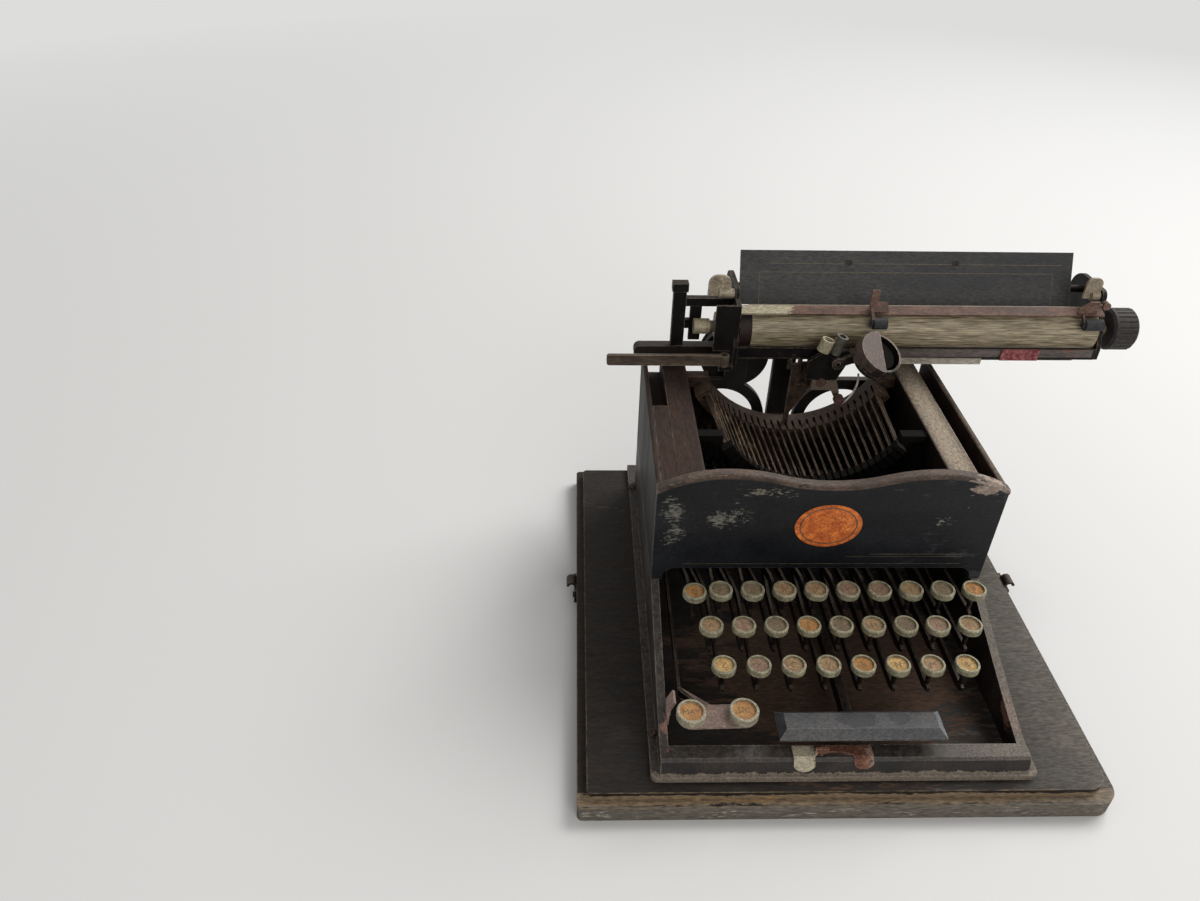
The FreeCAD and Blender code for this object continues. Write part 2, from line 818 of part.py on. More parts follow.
def basket_arc(inner, outer, y0, y1, span):
    """Part of a ring about the printing point, open at the top."""
    centre = V(machine_x, y0, print_height)
    low = Part.makeCylinder(outer, y1 - y0, centre, V(0, 1, 0))
    low = low.cut(Part.makeCylinder(inner, y1 - y0, centre, V(0, 1, 0)))
    reach = 2 * outer
    end_left = V(centre.x - reach * math.sin(math.radians(span)), y0,
                 centre.z - reach * math.cos(math.radians(span)))
    end_right = V(2 * centre.x - end_left.x, y0, end_left.z)
    keep = outline([centre, end_left, V(centre.x, y0, centre.z - 2 * reach), end_right])
    return low.common(keep.extrude(V(0, y1 - y0, 0)))


def type_segment():
    comb = basket_arc(segment_inner, segment_outer, segment_front, segment_back, segment_span)
    half = bar_thick / 2 + pinch
    slots = []
    for number in range(bar_count):
        slot = block(machine_x - half, machine_x + half, segment_front - pinch, slot_back,
                     print_height - slot_floor, print_height - segment_inner + ear_height)
        slots.append(to_seat(slot, bar_angle(number)))
    pieces = [comb.cut(Part.makeCompound(slots))]
    pivot_z = print_height - pivot_radius
    pin_half = half + pinch
    for number in range(bar_count):
        pin = rod(V(machine_x - pin_half, pivot_y, pivot_z),
                  V(machine_x + pin_half, pivot_y, pivot_z), pivot_pin)
        pieces.append(to_seat(pin, bar_angle(number)))
    for side in (-1, 1):
        tip = basket_point(side * segment_span, segment_outer, 0)
        x0, x1 = sorted((tip.x - side * ear_reach, machine_x + side * rail_inner))
        pieces.append(block(x0, x1, slot_back, segment_back, tip.z + ear_rise, tip.z + ear_rise + ear_height))
    foot = print_height - segment_outer
    pieces.append(block(machine_x + column_left, machine_x + column_right, slot_back,
                        body_back - rear_thick, foot - seat_below, foot + seat_above))
    wings = []
    middle = (segment_inner + segment_outer) / 2
    basket = Part.makeCylinder(middle, wing_plate, V(machine_x, segment_back, print_height), V(0, 1, 0))
    for side, inner in ((-1, column_left), (1, column_right)):
        x0, x1 = sorted((machine_x + inner, machine_x + side * rail_inner))
        wing = block(x0, x1, segment_back, segment_back + wing_plate, foot - wing_drop, tip.z + ear_rise)
        wings.append(wing.cut(basket))
    save("type_segment", fuse(pieces), *wings)


def typebar(number):
    """One typebar in its rest place, pointing forward from its seat."""
    pivot_z = print_height - pivot_radius
    half = bar_thick / 2
    low = bar_height / 2
    tip_low = bar_tip_height / 2
    tip_y = pivot_y - pivot_radius
    neck_y = tip_y + slug_length
    side = [(pivot_y + bar_heel, pivot_z - low), (pivot_y + bar_heel, pivot_z + low),
            (pivot_y - bar_waist, pivot_z + low), (neck_y, pivot_z + tip_low), (neck_y, pivot_z - tip_low),
            (pivot_y - bar_waist, pivot_z - low)]
    bar = profile_along_x(side, machine_x - half, machine_x + half)
    slug = block(machine_x - slug_width / 2, machine_x + slug_width / 2, tip_y - slug_nose, neck_y,
                 pivot_z - slug_down, pivot_z + slug_up)
    bore = rod(V(machine_x - half, pivot_y, pivot_z), V(machine_x + half, pivot_y, pivot_z),
               pivot_pin + running_gap)
    shape = bar.fuse(slug).cut(bore)
    shape.rotate(V(machine_x, pivot_y, pivot_z), V(1, 0, 0), -bar_rise)
    return to_seat(shape, bar_angle(number))


def typebars():
    fixed = [typebar(number) for number in range(bar_count) if number not in moving_bars]
    save("typebars", *fixed)
    for letter, number in zip("ab", moving_bars):
        save("typebar_" + letter, typebar(number))


def type_rest():
    rest_back = rest_front + rest_depth
    middle = pivot_radius - (pivot_y - rest_back) * math.sin(math.radians(bar_rise))
    inner = middle + bar_height / 2
    cradle = basket_arc(inner, inner + rest_thick, rest_front, rest_back, segment_span)
    pieces = [cradle]
    for side in (-1, 1):
        tip = basket_point(side * segment_span, inner + rest_thick, 0)
        x0, x1 = sorted((tip.x - side * rest_ear_reach, machine_x + side * rail_inner))
        low = tip.z + ear_rise
        pieces.append(block(x0, x1, rest_front, rest_back, low, low + rest_ear_height))
    save("type_rest", fuse(pieces))


# ---- keyboard -------------------------------------------------------------
def key_places():
    """Every key as (name, x, y, top)."""
    places = []
    for row_name, count, place, pitch in (("top", top_count, top_place, key_pitch),
                                          ("mid", mid_count, mid_place, key_pitch),
                                          ("low", low_count, low_place, low_pitch)):
        centre, y, top = place
        evenly = count - 1 if row_name == "top" else count
        for number in range(evenly):
            x = centre + (number - (evenly - 1) / 2) * pitch
            label = number + 1 + count - evenly
            places.append(("key_%s_%02d" % (row_name, label), x, y, top))
        if row_name == "top":
            first = centre - (evenly - 1) / 2 * pitch - first_key_pitch
            places.append(("key_top_01", first, y, top - first_key_drop))
    return sorted(places, key=lambda place: (place[1], place[2]))


def lever_slot(order):
    return machine_x + (order - (bar_count - 1) / 2) * slot_pitch


def key(order, name, x, y, top):
    base = top - key_ring_height
    lever_top = base - stem_length
    slot_x = lever_slot(order)
    half = lever_thick / 2
    nose = y - lever_nose
    shoulder_y = y + 2 * stem_radius

    # the lever is an upright strip: straight under the key, cranked sideways
    # behind the apron, then straight to its eye on the fulcrum rod
    eye_top = fulcrum_z + lever_height / 2
    upright = profile_along_x([(nose, lever_top), (shoulder_y, lever_top), (fulcrum_y, eye_top),
                               (fulcrum_y, eye_top - lever_height), (shoulder_y, lever_top - lever_height),
                               (nose, lever_top - lever_height / 2)], wall_left, wall_right)
    path = [(x - half, nose), (x + half, nose), (x + half, jog_front), (slot_x + half, jog_back),
            (slot_x + half, fulcrum_y), (slot_x - half, fulcrum_y), (slot_x - half, jog_back),
            (x - half, jog_front)]
    strip = profile_along_z(path, 0, rail_top).common(upright)
    left = V(slot_x - half, fulcrum_y, fulcrum_z)
    right = V(slot_x + half, fulcrum_y, fulcrum_z)
    lever = strip.fuse(rod(left, right, lever_eye)).cut(rod(left, right, fulcrum_radius + running_gap))

    stem = rod(V(x, y, lever_top), V(x, y, base), stem_radius)
    inner = ring_radius - ring_wall
    floor = key_ring_height - disc_drop - disc_thick
    ring = spun([(0, 0), (ring_radius - ring_foot_inset, 0), (ring_radius, ring_foot_rise),
                 (ring_radius, key_ring_height - ring_lip), (ring_radius - ring_lip, key_ring_height),
                 (inner, key_ring_height), (inner, floor), (0, floor)], V(x, y, base))
    disc = Part.makeCylinder(inner, disc_thick, V(x, y, base + floor), V(0, 0, 1))

    # pull link from the lever towards the typebar's heel
    heel = basket_point(bar_angle(order), segment_outer + link_drop, link_y)
    share = (fulcrum_y - link_y) / (fulcrum_y - shoulder_y)
    seat_z = eye_top + share * (lever_top - eye_top)
    link = rod(V(slot_x, link_y, seat_z), heel, link_radius)
    link = link.cut(block(slot_x - lever_height, slot_x + lever_height, link_y - lever_height,
                          link_y + lever_height, 0, seat_z)).cut(lever)
    save(name, lever, stem, ring, disc, link)


def key_fulcrum():
    bar = rod(V(wall_left, fulcrum_y, fulcrum_z), V(wall_right, fulcrum_y, fulcrum_z), fulcrum_radius)
    comb = block(wall_left, wall_right, comb_front, comb_back, comb_bottom, comb_top)
    half = lever_thick / 2 + pinch
    low = fulcrum_z - lever_height / 2 - comb_under
    places = [lever_slot(order) for order in range(bar_count)] + [shift_bar_x]
    slots = [block(x - half, x + half, comb_front, comb_back, low, comb_top) for x in places]
    comb = comb.cut(Part.makeCompound(slots))
    # clevis of the space lever, screwed to the board
    gap = space_lever_thick / 2 + pinch
    left = space_lever_x - gap - clevis_ear
    right = space_lever_x + gap + clevis_ear
    clevis = block(left, right, space_pivot_y - clevis_reach, space_pivot_y + clevis_reach,
                   board_top, space_pivot_z + clevis_over)
    clevis = clevis.cut(block(space_lever_x - gap, space_lever_x + gap, space_pivot_y - clevis_reach,
                              space_pivot_y + clevis_reach, board_top + clevis_floor, rail_top))
    pin = rod(V(left, space_pivot_y, space_pivot_z), V(right, space_pivot_y, space_pivot_z), space_pin)
    save("key_fulcrum", bar, comb, clevis.cut(pin), pin)


def shift_lever():
    low = shift_plate_top - shift_plate_thick
    x0, y0 = shift_left
    x1, y1 = shift_right
    wide = shift_plate_half
    plate = fuse([profile_along_z([(x0, y0 - wide), (x1, y1 - wide), (x1, y1 + wide), (x0, y0 + wide)],
                                  low, shift_plate_top),
                  Part.makeCylinder(wide, shift_plate_thick, V(x0, y0, low), V(0, 0, 1)),
                  Part.makeCylinder(wide, shift_plate_thick, V(x1, y1, low), V(0, 0, 1))])
    solids = []
    height = shift_top - shift_plate_top
    inner = shift_radius - shift_wall
    floor = height - disc_drop - disc_thick
    for x, y in (shift_left, shift_right):
        ring = spun([(0, 0), (shift_radius, 0), (shift_radius, height - ring_lip),
                     (shift_radius - ring_lip, height), (inner, height), (inner, floor), (0, floor)],
                    V(x, y, shift_plate_top))
        solids.append(ring)
        solids.append(Part.makeCylinder(inner, disc_thick, V(x, y, shift_plate_top + floor), V(0, 0, 1)))
    # bent arm from the plate to the long bar beside the keys
    half = lever_thick / 2
    arm_y = y0 + wide
    arm_x = x0 + shift_arm_at
    bend_y = arm_y + shift_bend
    start_y = arm_y - 2 * shift_plate_thick
    bar_left = shift_bar_x - half
    bar_right = shift_bar_x + half
    path = [(arm_x - shift_arm_half, start_y), (arm_x + shift_arm_half, start_y),
            (arm_x + shift_arm_half, arm_y), (bar_right, bend_y), (bar_left, bend_y),
            (bar_left, bend_y - lever_thick), (arm_x - shift_arm_half, arm_y - lever_thick)]
    eye_top = fulcrum_z + lever_height / 2
    under = low - shift_plate_thick
    arm = profile_along_z(path, low - lever_height, low)
    arm = arm.cut(block(bar_left, machine_x, start_y, arm_y, low - lever_height, under))
    side = [(bend_y, low - lever_height), (fulcrum_y, eye_top - lever_height),
            (fulcrum_y, eye_top), (bend_y, low)]
    bar = profile_along_x(side, bar_left, bar_right)
    start = V(bar_left, fulcrum_y, fulcrum_z)
    end = V(bar_right, fulcrum_y, fulcrum_z)
    bar = bar.fuse(rod(start, end, lever_eye)).cut(rod(start, end, fulcrum_radius + running_gap))
    save("shift_lever", plate, arm, bar, *solids)


def space_bar():
    low = space_top - space_height
    foot = Part.makePolygon([V(space_left, space_front, low), V(space_right, space_front, low),
                             V(space_right, space_back, low), V(space_left, space_back, low),
                             V(space_left, space_front, low)])
    shelf = low + space_height - space_bevel
    rim = [V(space_left, space_front, shelf), V(space_right, space_front, shelf),
           V(space_right, space_back, shelf), V(space_left, space_back, shelf),
           V(space_left, space_front, shelf)]
    inset = space_bevel
    crown = [V(space_left + inset, space_front + inset, space_top),
             V(space_right - inset, space_front + inset, space_top),
             V(space_right - inset, space_back - inset, space_top),
             V(space_left + inset, space_back - inset, space_top)]
    slab = Part.Face(foot).extrude(V(0, 0, shelf - low))
    bevel = Part.makeLoft([Part.makePolygon(rim), Part.makePolygon(crown + [crown[0]])], True, True)
    bar = slab.fuse(bevel).removeSplitter()
    x0 = space_lever_x - space_lever_thick / 2
    x1 = space_lever_x + space_lever_thick / 2
    middle = (space_front + space_back) / 2
    foot_z = space_lever_top - space_lever_height
    hub = space_hub
    neck_y = middle + space_neck / 2
    side = [(neck_y, low), (space_back, low), (space_back + space_neck / 2, space_lever_top),
            (space_pivot_y, space_pivot_z + hub), (space_pivot_y, space_pivot_z - hub),
            (neck_y + space_neck, foot_z), (neck_y, foot_z + space_neck)]
    lever = profile_along_x(side, x0, x1)
    start = V(x0, space_pivot_y, space_pivot_z)
    end = V(x1, space_pivot_y, space_pivot_z)
    lever = lever.fuse(rod(start, end, hub)).cut(rod(start, end, space_pin + running_gap))
    save("space_bar", bar, lever)


# ---- small parts on the rim ----------------------------------------------
def front_bracket():
    """Catch plate folded over the rim, with an open arch between its two lobes."""
    thick = catch_thick
    left = catch_left
    right = catch_right
    flat_front = rim_front + rim_chamfer
    bend_z = rim_top - rim_chamfer
    arch_left = left + catch_lobe
    arch_right = right - catch_side
    low_left = flange_top + catch_left_gap
    low_right = flange_top + catch_right_gap

    # folded front: a leaning sheet, trimmed to two lobes with rounded ends
    out = rim_front - rim_lean
    face = [(rim_front, bend_z), (flat_front, rim_top), (flat_front, rim_top + thick),
            (rim_front - thick, bend_z), (out - thick, flange_top), (out, flange_top)]
    far = out - 2 * thick

    def at(x, z):
        return V(x, far, z)

    arch_z = low_right + catch_round
    lobes = [Part.makeLine(at(left, rim_top + 2 * thick), at(left, low_left + catch_round)),
             Part.Arc(at(left, low_left + catch_round), at((left + arch_left) / 2, low_left),
                      at(arch_left, low_left + catch_round)).toShape(),
             Part.makeLine(at(arch_left, low_left + catch_round), at(arch_right, arch_z)),
             Part.Arc(at(arch_right, arch_z), at((arch_right + right) / 2, low_right),
                      at(right, arch_z)).toShape(),
             Part.makeLine(at(right, arch_z), at(right, rim_top + 2 * thick)),
             Part.makeLine(at(right, rim_top + 2 * thick), at(left, rim_top + 2 * thick))]
    trim = Part.Face(Part.Wire(lobes)).extrude(V(0, flat_front - far, 0))
    folded = profile_along_x(face, left, right).common(trim)
    top = block(left, right, flat_front, flat_front + catch_depth, rim_top, rim_top + thick)

    # the arch is open from the front edge onto the top of the rim
    ends = flat_front + catch_arch_in
    low = flange_top
    mouth = [Part.makeLine(V(arch_left, far, low), V(arch_left, ends, low)),
             Part.Arc(V(arch_left, ends, low), V((arch_left + arch_right) / 2, ends + catch_arch, low),
                      V(arch_right, ends, low)).toShape(),
             Part.makeLine(V(arch_right, ends, low), V(arch_right, far, low)),
             Part.makeLine(V(arch_right, far, low), V(arch_left, far, low))]
    arch = Part.Face(Part.Wire(mouth)).extrude(V(0, 0, rim_top + 2 * thick - low))
    plate = fuse([top, folded]).cut(arch)
    stud_x = left + catch_lobe + wing_half
    stud_y = flat_front + wing_stud
    seat = rim_top + thick
    stud = Part.makeCylinder(wing_stud, wing_rise + wing_stud, V(stud_x, stud_y, seat), V(0, 0, 1))
    wing = block(stud_x - wing_half, stud_x + wing_half, stud_y - wing_thick / 2, stud_y + wing_thick / 2,
                 seat + wing_rise, seat + wing_rise + wing_height)
    save("front_bracket", plate, stud.fuse(wing))


def finger_spring():
    middle = rim_front + spring_behind
    thick = spring_thick
    low = board_top + spring_low
    bend = board_top + spring_mid
    tip = board_top + spring_high
    corners = [(wall_left, low), (wall_left + thick, low), (wall_left + thick, bend),
               (wall_left + spring_out, tip), (wall_left + spring_out - thick, tip + thick / 2),
               (wall_left, bend + thick)]
    strip = profile_along_y(corners, middle - spring_width / 2, middle + spring_width / 2)
    screw_seat = V(wall_left + thick, middle, (low + bend) / 2)
    screw = Part.makeCylinder(screw_radius, screw_height, screw_seat, V(1, 0, 0))
    save("finger_spring", strip, screw)


# ---- carriage -------------------------------------------------------------
def carriage_rail():
    bar = block(machine_x - rail_half, machine_x + rail_half, rail_front, rail_back, rail_under, rail_over)
    bar = bar.makeFillet(rail_round, edges_along(bar, V(0, 1, 0), lambda p: True))
    pieces = [bar]
    half = rail_foot / 2
    for side in (-1, 1):
        for across in (body_half - half, rail_inner + rail_foot_inset):
            x = machine_x + side * across
            pieces.append(block(x - half, x + half, rail_front, rail_back, rail_top, rail_under + rail_round))
    save("carriage_rail", fuse(pieces))


def carriage_frame():
    outer = block(channel_left, channel_right, channel_front, channel_back,
                  rail_over - channel_skirt, channel_top)
    inner = block(channel_left, channel_right, rail_front - sliding_gap, rail_back + sliding_gap,
                  rail_over - channel_skirt, rail_over + sliding_gap)
    save("carriage_frame", outer.cut(inner))


def end_plate(x, left):
    """End plate: bearing of the axle, foot on the channel, rounded cheek about the shaft."""
    x1 = x + end_plate_thick
    cheek_y = shaft_y + cheek_back
    cheek_z = shaft_z - cheek_drop
    front = platen_y - bearing_radius
    pieces = [profile_along_x([(bar_front, seat_low), (bar_front, bar_high), (front, platen_z),
                               (end_plate_back, platen_z), (end_plate_back, seat_low)], x, x1),
              profile_along_x([(front, platen_z), (release_y - boss_radius, release_z),
                               (release_y, release_z + boss_radius), (cheek_y, cheek_z + cheek_radius),
                               (cheek_y + cheek_radius, cheek_z), (cheek_y, cheek_z - cheek_radius),
                               (end_plate_back, platen_z)], x, x1),
              rod(V(x, platen_y, platen_z), V(x1, platen_y, platen_z), bearing_radius),
              rod(V(x, release_y, release_z), V(x1, release_y, release_z), boss_radius),
              rod(V(x, cheek_y, cheek_z), V(x1, cheek_y, cheek_z), cheek_radius)]
    if left:
        panel_front = platen_y - panel_ahead
        pieces.append(block(x, x1, panel_front, release_y, seat_low, platen_z + panel_top))
        pieces.append(block(x, x1, bar_front, bar_front + leg_deep, platen_z - leg_drop, bar_high))
        pieces.append(block(x - panel_flange, x1, panel_front, panel_front + tab_thick,
                            platen_z - panel_low, platen_z + panel_top))
    plate = fuse(pieces)
    plate = plate.cut(rod(V(x, shaft_y, shaft_z), V(x1, shaft_y, shaft_z), shaft_radius))
    return plate.cut(rod(V(x, platen_y, platen_z), V(x1, platen_y, platen_z), axle_radius + running_gap))


def platen_frame():
    left = end_plate(plate_left_x, True)
    right = end_plate(plate_right_in, False)
    under = block(plate_left_in, plate_right_in, bar_front, bar_front + bar_deep, bar_low, bar_high)
    seats = []
    for x0 in (plate_left_in, plate_right_in - seat_length):
        seats.append(block(x0, x0 + seat_length, end_plate_back - seat_depth, end_plate_back,
                           seat_low, seat_low + seat_height))
    shaft = rod(V(plate_left_x, shaft_y, shaft_z), V(plate_right_x, shaft_y, shaft_z), shaft_radius)
    # upright post at the left, carried by two arms and a strut
    post_right = post_x + post_width / 2
    post_left = post_x - post_width / 2
    post_front = platen_y + post_behind
    post_back = post_front + post_depth
    post_top = platen_z + post_over
    cap_low = post_top - cap_height
    post = block(post_left, post_right, post_front, post_back, rail_over + post_gap, cap_low)
    cap = block(post_left - cap_rim, post_right + cap_rim, post_front - cap_rim, post_back + cap_rim,
                cap_low, post_top)
    upper = block(post_right, plate_left_x, post_front, post_back,
                  platen_z + post_arm_low, platen_z + post_arm_high)
    strut_front = platen_y + strut_ahead
    strut = block(strut_left, strut_right, strut_front, strut_front + strut_deep,
                  platen_z + strut_low, platen_z + post_arm_low)
    stay = block(post_right, strut_left, strut_front, strut_front + strut_deep,
                 platen_z + stay_low, platen_z + stay_high)
    # lug of the line space lever
    lug = block(lever_root - lever_eye_radius, plate_left_x, lever_front, bar_front,
                lever_low - lug_drop, lever_low - sliding_gap)
    root = block(plate_left_x - lug_root, plate_left_x, lever_front, bar_front + leg_deep,
                 lever_low - lug_drop, lever_low - sliding_gap)
    pin_y = lever_front + lever_deep / 2
    pin = rod(V(lever_root, pin_y, lever_low - lug_drop),
              V(lever_root, pin_y, lever_high + lever_pin), lever_pin)
    studs = []
    for face, off in ((plate_left_x, tab_left_off), (plate_right_in, tab_right_off)):
        studs.append(rod(V(face - off - 2 * sliding_gap, release_y, release_z),
                         V(face, release_y, release_z), lever_pin))
    save("platen_frame", left.fuse([lug, root, pin, studs[0]]).removeSplitter(), right.fuse(studs[1]), under,
         shaft, fuse([post, cap]), fuse([upper, strut, stay]), *seats)


def platen():
    left = V(platen_left, platen_y, platen_z)
    right = V(platen_right, platen_y, platen_z)
    end = V(platen_end, platen_y, platen_z)
    core_radius = platen_radius - platen_wall
    sleeve = rod(left, right, platen_radius).cut(rod(left, right, core_radius))
    core = rod(end, right, core_radius).fuse(rod(end, left, platen_radius - collar_step))
    core = core.removeSplitter().cut(rod(end, right, axle_radius))
    axle = rod(V(axle_left, platen_y, platen_z), V(knob_left, platen_y, platen_z), axle_radius)
    save("platen", sleeve, core, axle)


def platen_knob():
    body = Part.makeCylinder(knob_radius, knob_length, V(knob_left, platen_y, platen_z), V(1, 0, 0))
    rims = [edge for edge in body.Edges if edge.Length > knob_radius and len(edge.Vertexes) == 1]
    body = body.makeChamfer(knob_chamfer, rims)
    grooves = []
    for number in range(knob_ribs):
        turn = 2 * math.pi * number / knob_ribs
        y = platen_y + (knob_radius + rib_out) * math.cos(turn)
        z = platen_z + (knob_radius + rib_out) * math.sin(turn)
        grooves.append(rod(V(knob_left + rib_start, y, z), V(knob_left + knob_length, y, z), rib_radius))
    save("platen_knob", body.cut(Part.makeCompound(grooves)))


def ratchet_wheel():
    corners = []
    for tooth in range(ratchet_teeth):
        for radius, share in ((ratchet_radius, 0.0), (ratchet_radius - ratchet_bite, 0.25)):
            turn = 2 * math.pi * (tooth + share) / ratchet_teeth
            corners.append((platen_y + radius * math.cos(turn), platen_z + radius * math.sin(turn)))
    wheel_right = plate_left_x - ratchet_off
    wheel = profile_along_x(corners, wheel_right - ratchet_thick, wheel_right)

    def on_axle(x0, x1, radius):
        return rod(V(x0, platen_y, platen_z), V(x1, platen_y, platen_z), radius)

    hub = on_axle(wheel_right, plate_left_x - sliding_gap, ratchet_hub)
    nut = on_axle(axle_left + sliding_gap, plate_left_x - nut_off, nut_radius)
    bore = on_axle(axle_left, plate_left_x, axle_radius)
    save("ratchet_wheel", wheel.fuse(hub).cut(bore), nut.cut(bore))


def line_space_lever():
    pin_y = lever_front + lever_deep / 2
    bar = block(lever_tip, lever_root, lever_front, lever_front + lever_deep, lever_low, lever_high)
    tip = edges_along(bar, V(0, 1, 0), lambda p: p.x < lever_tip + lever_tip_round)
    bar = bar.makeFillet(lever_tip_round, tip)
    base = V(lever_root, pin_y, lever_low)
    eye = Part.makeCylinder(lever_eye_radius, lever_tall, base, V(0, 0, 1))
    bore = Part.makeCylinder(lever_pin + running_gap, lever_tall, base, V(0, 0, 1))
    save("line_space_lever", bar.fuse(eye).cut(bore))


def paper_table():
    low = V(0, platen_y + table_low[0], platen_z + table_low[1])
    high = V(0, platen_y + table_high[0], platen_z + table_high[1])
    plate = slanted_plate((low.y, low.z), (high.y, high.z), table_thick, table_left, table_right)
    slope = high - low
    up = V(slope)
    up.normalize()
    out = V(0, -up.z, up.y)
    solids = [plate]
    for along in (rivet_left, rivet_right):
        middle = low + slope * rivet_height + V(table_left + along, 0, 0)
        solids.append(Part.makeCylinder(rivet_radius, rivet_thick, middle, out))
    # straps from the back of the table to the shaft
    shaft = rod(V(table_left, shaft_y, shaft_z), V(table_right, shaft_y, shaft_z), shaft_radius)
    foot = low + up * (V(0, shaft_y, shaft_z) - low).dot(up)
    for x in (table_left + strap_inset, table_right - strap_inset):
        corners = [foot - up * shaft_radius, foot + up * shaft_radius,
                   V(0, shaft_y, shaft_z) + up * shaft_radius, V(0, shaft_y, shaft_z) - up * shaft_radius]
        strap = profile_along_x([(corner.y, corner.z) for corner in corners], x - strap_half, x + strap_half)
        solids.append(strap.cut(plate).cut(shaft))
    save("paper_table", *solids)


def paper_bail():
    low = (platen_y + bail_low[0], platen_z + bail_low[1])
    high = (platen_y + bail_high[0], platen_z + bail_high[1])
    strip = slanted_plate(low, high, bail_thick, plate_left_in, plate_right_in)
    roll_x = plate_right_in - bail_roll_inset
    roll = rod(V(roll_x, roll_y, roll_z), V(roll_x + bail_roll_length, roll_y, roll_z), roll_radius)
    half = roll_radius / 2
    hanger = profile_along_x([(low[0] + bail_thick, low[1]), (low[0] - half, low[1] + bail_thick),
                              (roll_y - half, roll_z + half), (roll_y - half, roll_z - half),
                              (roll_y + half, roll_z - half), (roll_y + half, roll_z + half)],
                             roll_x - bail_thick, roll_x)
    # catch at the right end, with a small button
    catch_top = low[1] + catch_plate_tall
    catch_start = plate_right_in - catch_plate_left
    catch_end = plate_right_in - catch_plate_right
    catch_mid = (catch_start + catch_end) / 2
    catch = profile_along_y([(catch_start, low[1]), (catch_end, low[1]), (catch_end, catch_top),
                             (catch_mid, catch_top), (catch_start, low[1] + catch_plate_tall / 2)],
                            low[0], low[0] + bail_thick)
    button_x = catch_end + catch_button_off
    button_z = catch_top - catch_button
    neck = block(catch_end - catch_button, button_x, low[0], low[0] + bail_thick,
                 button_z - bail_thick / 2, button_z + bail_thick / 2)
    button = rod(V(button_x, low[0] - bail_thick, button_z), V(button_x, low[0] + 2 * bail_thick, button_z),
                 catch_button)
    hanger = hanger.cut(strip)
    save("paper_bail", strip, roll, hanger, fuse([catch, neck, button]).cut(strip).cut(hanger))


def paper_finger():
    low_y = platen_y + bail_low[0]
    low_z = platen_z + bail_low[1]
    high_y = platen_y + bail_high[0]
    high_z = platen_z + bail_high[1]
    x0 = finger_x - roll_length / 2
    half = finger_bar / 2
    roll = rod(V(x0, roll_y, roll_z), V(x0 + roll_length, roll_y, roll_z), roll_radius)
    # flat arm beside the roll, bent over the bail's edge
    arm = profile_along_x([(roll_y + half, roll_z - half), (roll_y - half, roll_z - half),
                           (roll_y - half, roll_z + 2 * half), (low_y - 1.5 * half, low_z + 1.5 * half),
                           (high_y - 1.3 * half, high_z + 2.2 * half),
                           (high_y - 0.7 * half, high_z + 1.3 * half),
                           (low_y - 0.2 * half, low_z + 0.6 * half), (roll_y + half, roll_z + 0.7 * half)],
                          x0 - finger_thick, x0)
    clip = slanted_plate((low_y - 0.5 * half, low_z + 1.25 * half),
                         (high_y - 1.1 * half, high_z + 2.35 * half),
                         bail_thick, x0, x0 + roll_length + half)
    tab = profile_along_x([(high_y - 2.6 * half, high_z + 1.5 * half),
                           (high_y - 1.8 * half, high_z + 1.9 * half),
                           (high_y - 1.2 * half, high_z + finger_tab),
                           (high_y - 2.35 * half, high_z + finger_tab + 0.35 * half)],
                          x0 - finger_thick, x0 + finger_thick + 0.8 * half)
    save("paper_finger", roll, fuse([arm, clip, tab]))


def front_scale():
    strip = block(scale_left, scale_right, bar_front - scale_thick, bar_front, bar_low - scale_below,
                  bar_low + scale_above)
    felt = block(felt_left, felt_right, bar_front - felt_thick, bar_front, bar_low, bar_high)
    lower = block(strip_left, strip_right, bar_front - strip_thick, bar_front,
                  bar_low + strip_above, bar_high)
    lower = lower.cut(felt).cut(strip)
    save("front_scale", strip, felt, *lower.Solids)


def release_lever():
    """Rounded thumb tab left of each end plate, both on one axis."""
    tabs = []
    for face, off, wide in ((plate_left_x, tab_left_off, tab_left),
                            (plate_right_in, tab_right_off, tab_right)):
        x1 = face - off
        x0 = x1 - wide
        corner = wide * tab_round
        low = release_z - tab_low
        top = release_z + tab_top
        sheet = block(x0, x1, release_y - tab_thick / 2, release_y + tab_thick / 2, low, top)
        upper = edges_along(sheet, V(0, 1, 0), lambda p: p.z > release_z)
        sheet = sheet.makeFillet(corner, upper)
        hub = rod(V(x1 - wide / 2, release_y, release_z),
                  V(face - sliding_gap, release_y, release_z), release_hub)
        bore = rod(V(face - off - 3 * sliding_gap, release_y, release_z), V(face, release_y, release_z),
                   lever_pin + running_gap)
        tabs.append(fuse([sheet, hub]).cut(bore))
    save("release_lever", *tabs)


def mainspring_drum():
    rim = drum_radius
    waist = drum_radius - drum_flange
    bore = axle_radius + running_gap
    drum = spun([(bore, 0), (rim, 0), (rim, drum_flange), (waist, 1.5 * drum_flange),
                 (waist, drum_depth - 1.5 * drum_flange), (rim, drum_depth - drum_flange), (rim, drum_depth),
                 (drum_hub, drum_depth), (drum_hub - drum_flange, drum_depth + drum_flange),
                 (bore, drum_depth + drum_flange)], V(drum_x, drum_front, drum_z), V(0, 1, 0), V(1, 0, 0))
    save("mainspring_drum", drum)


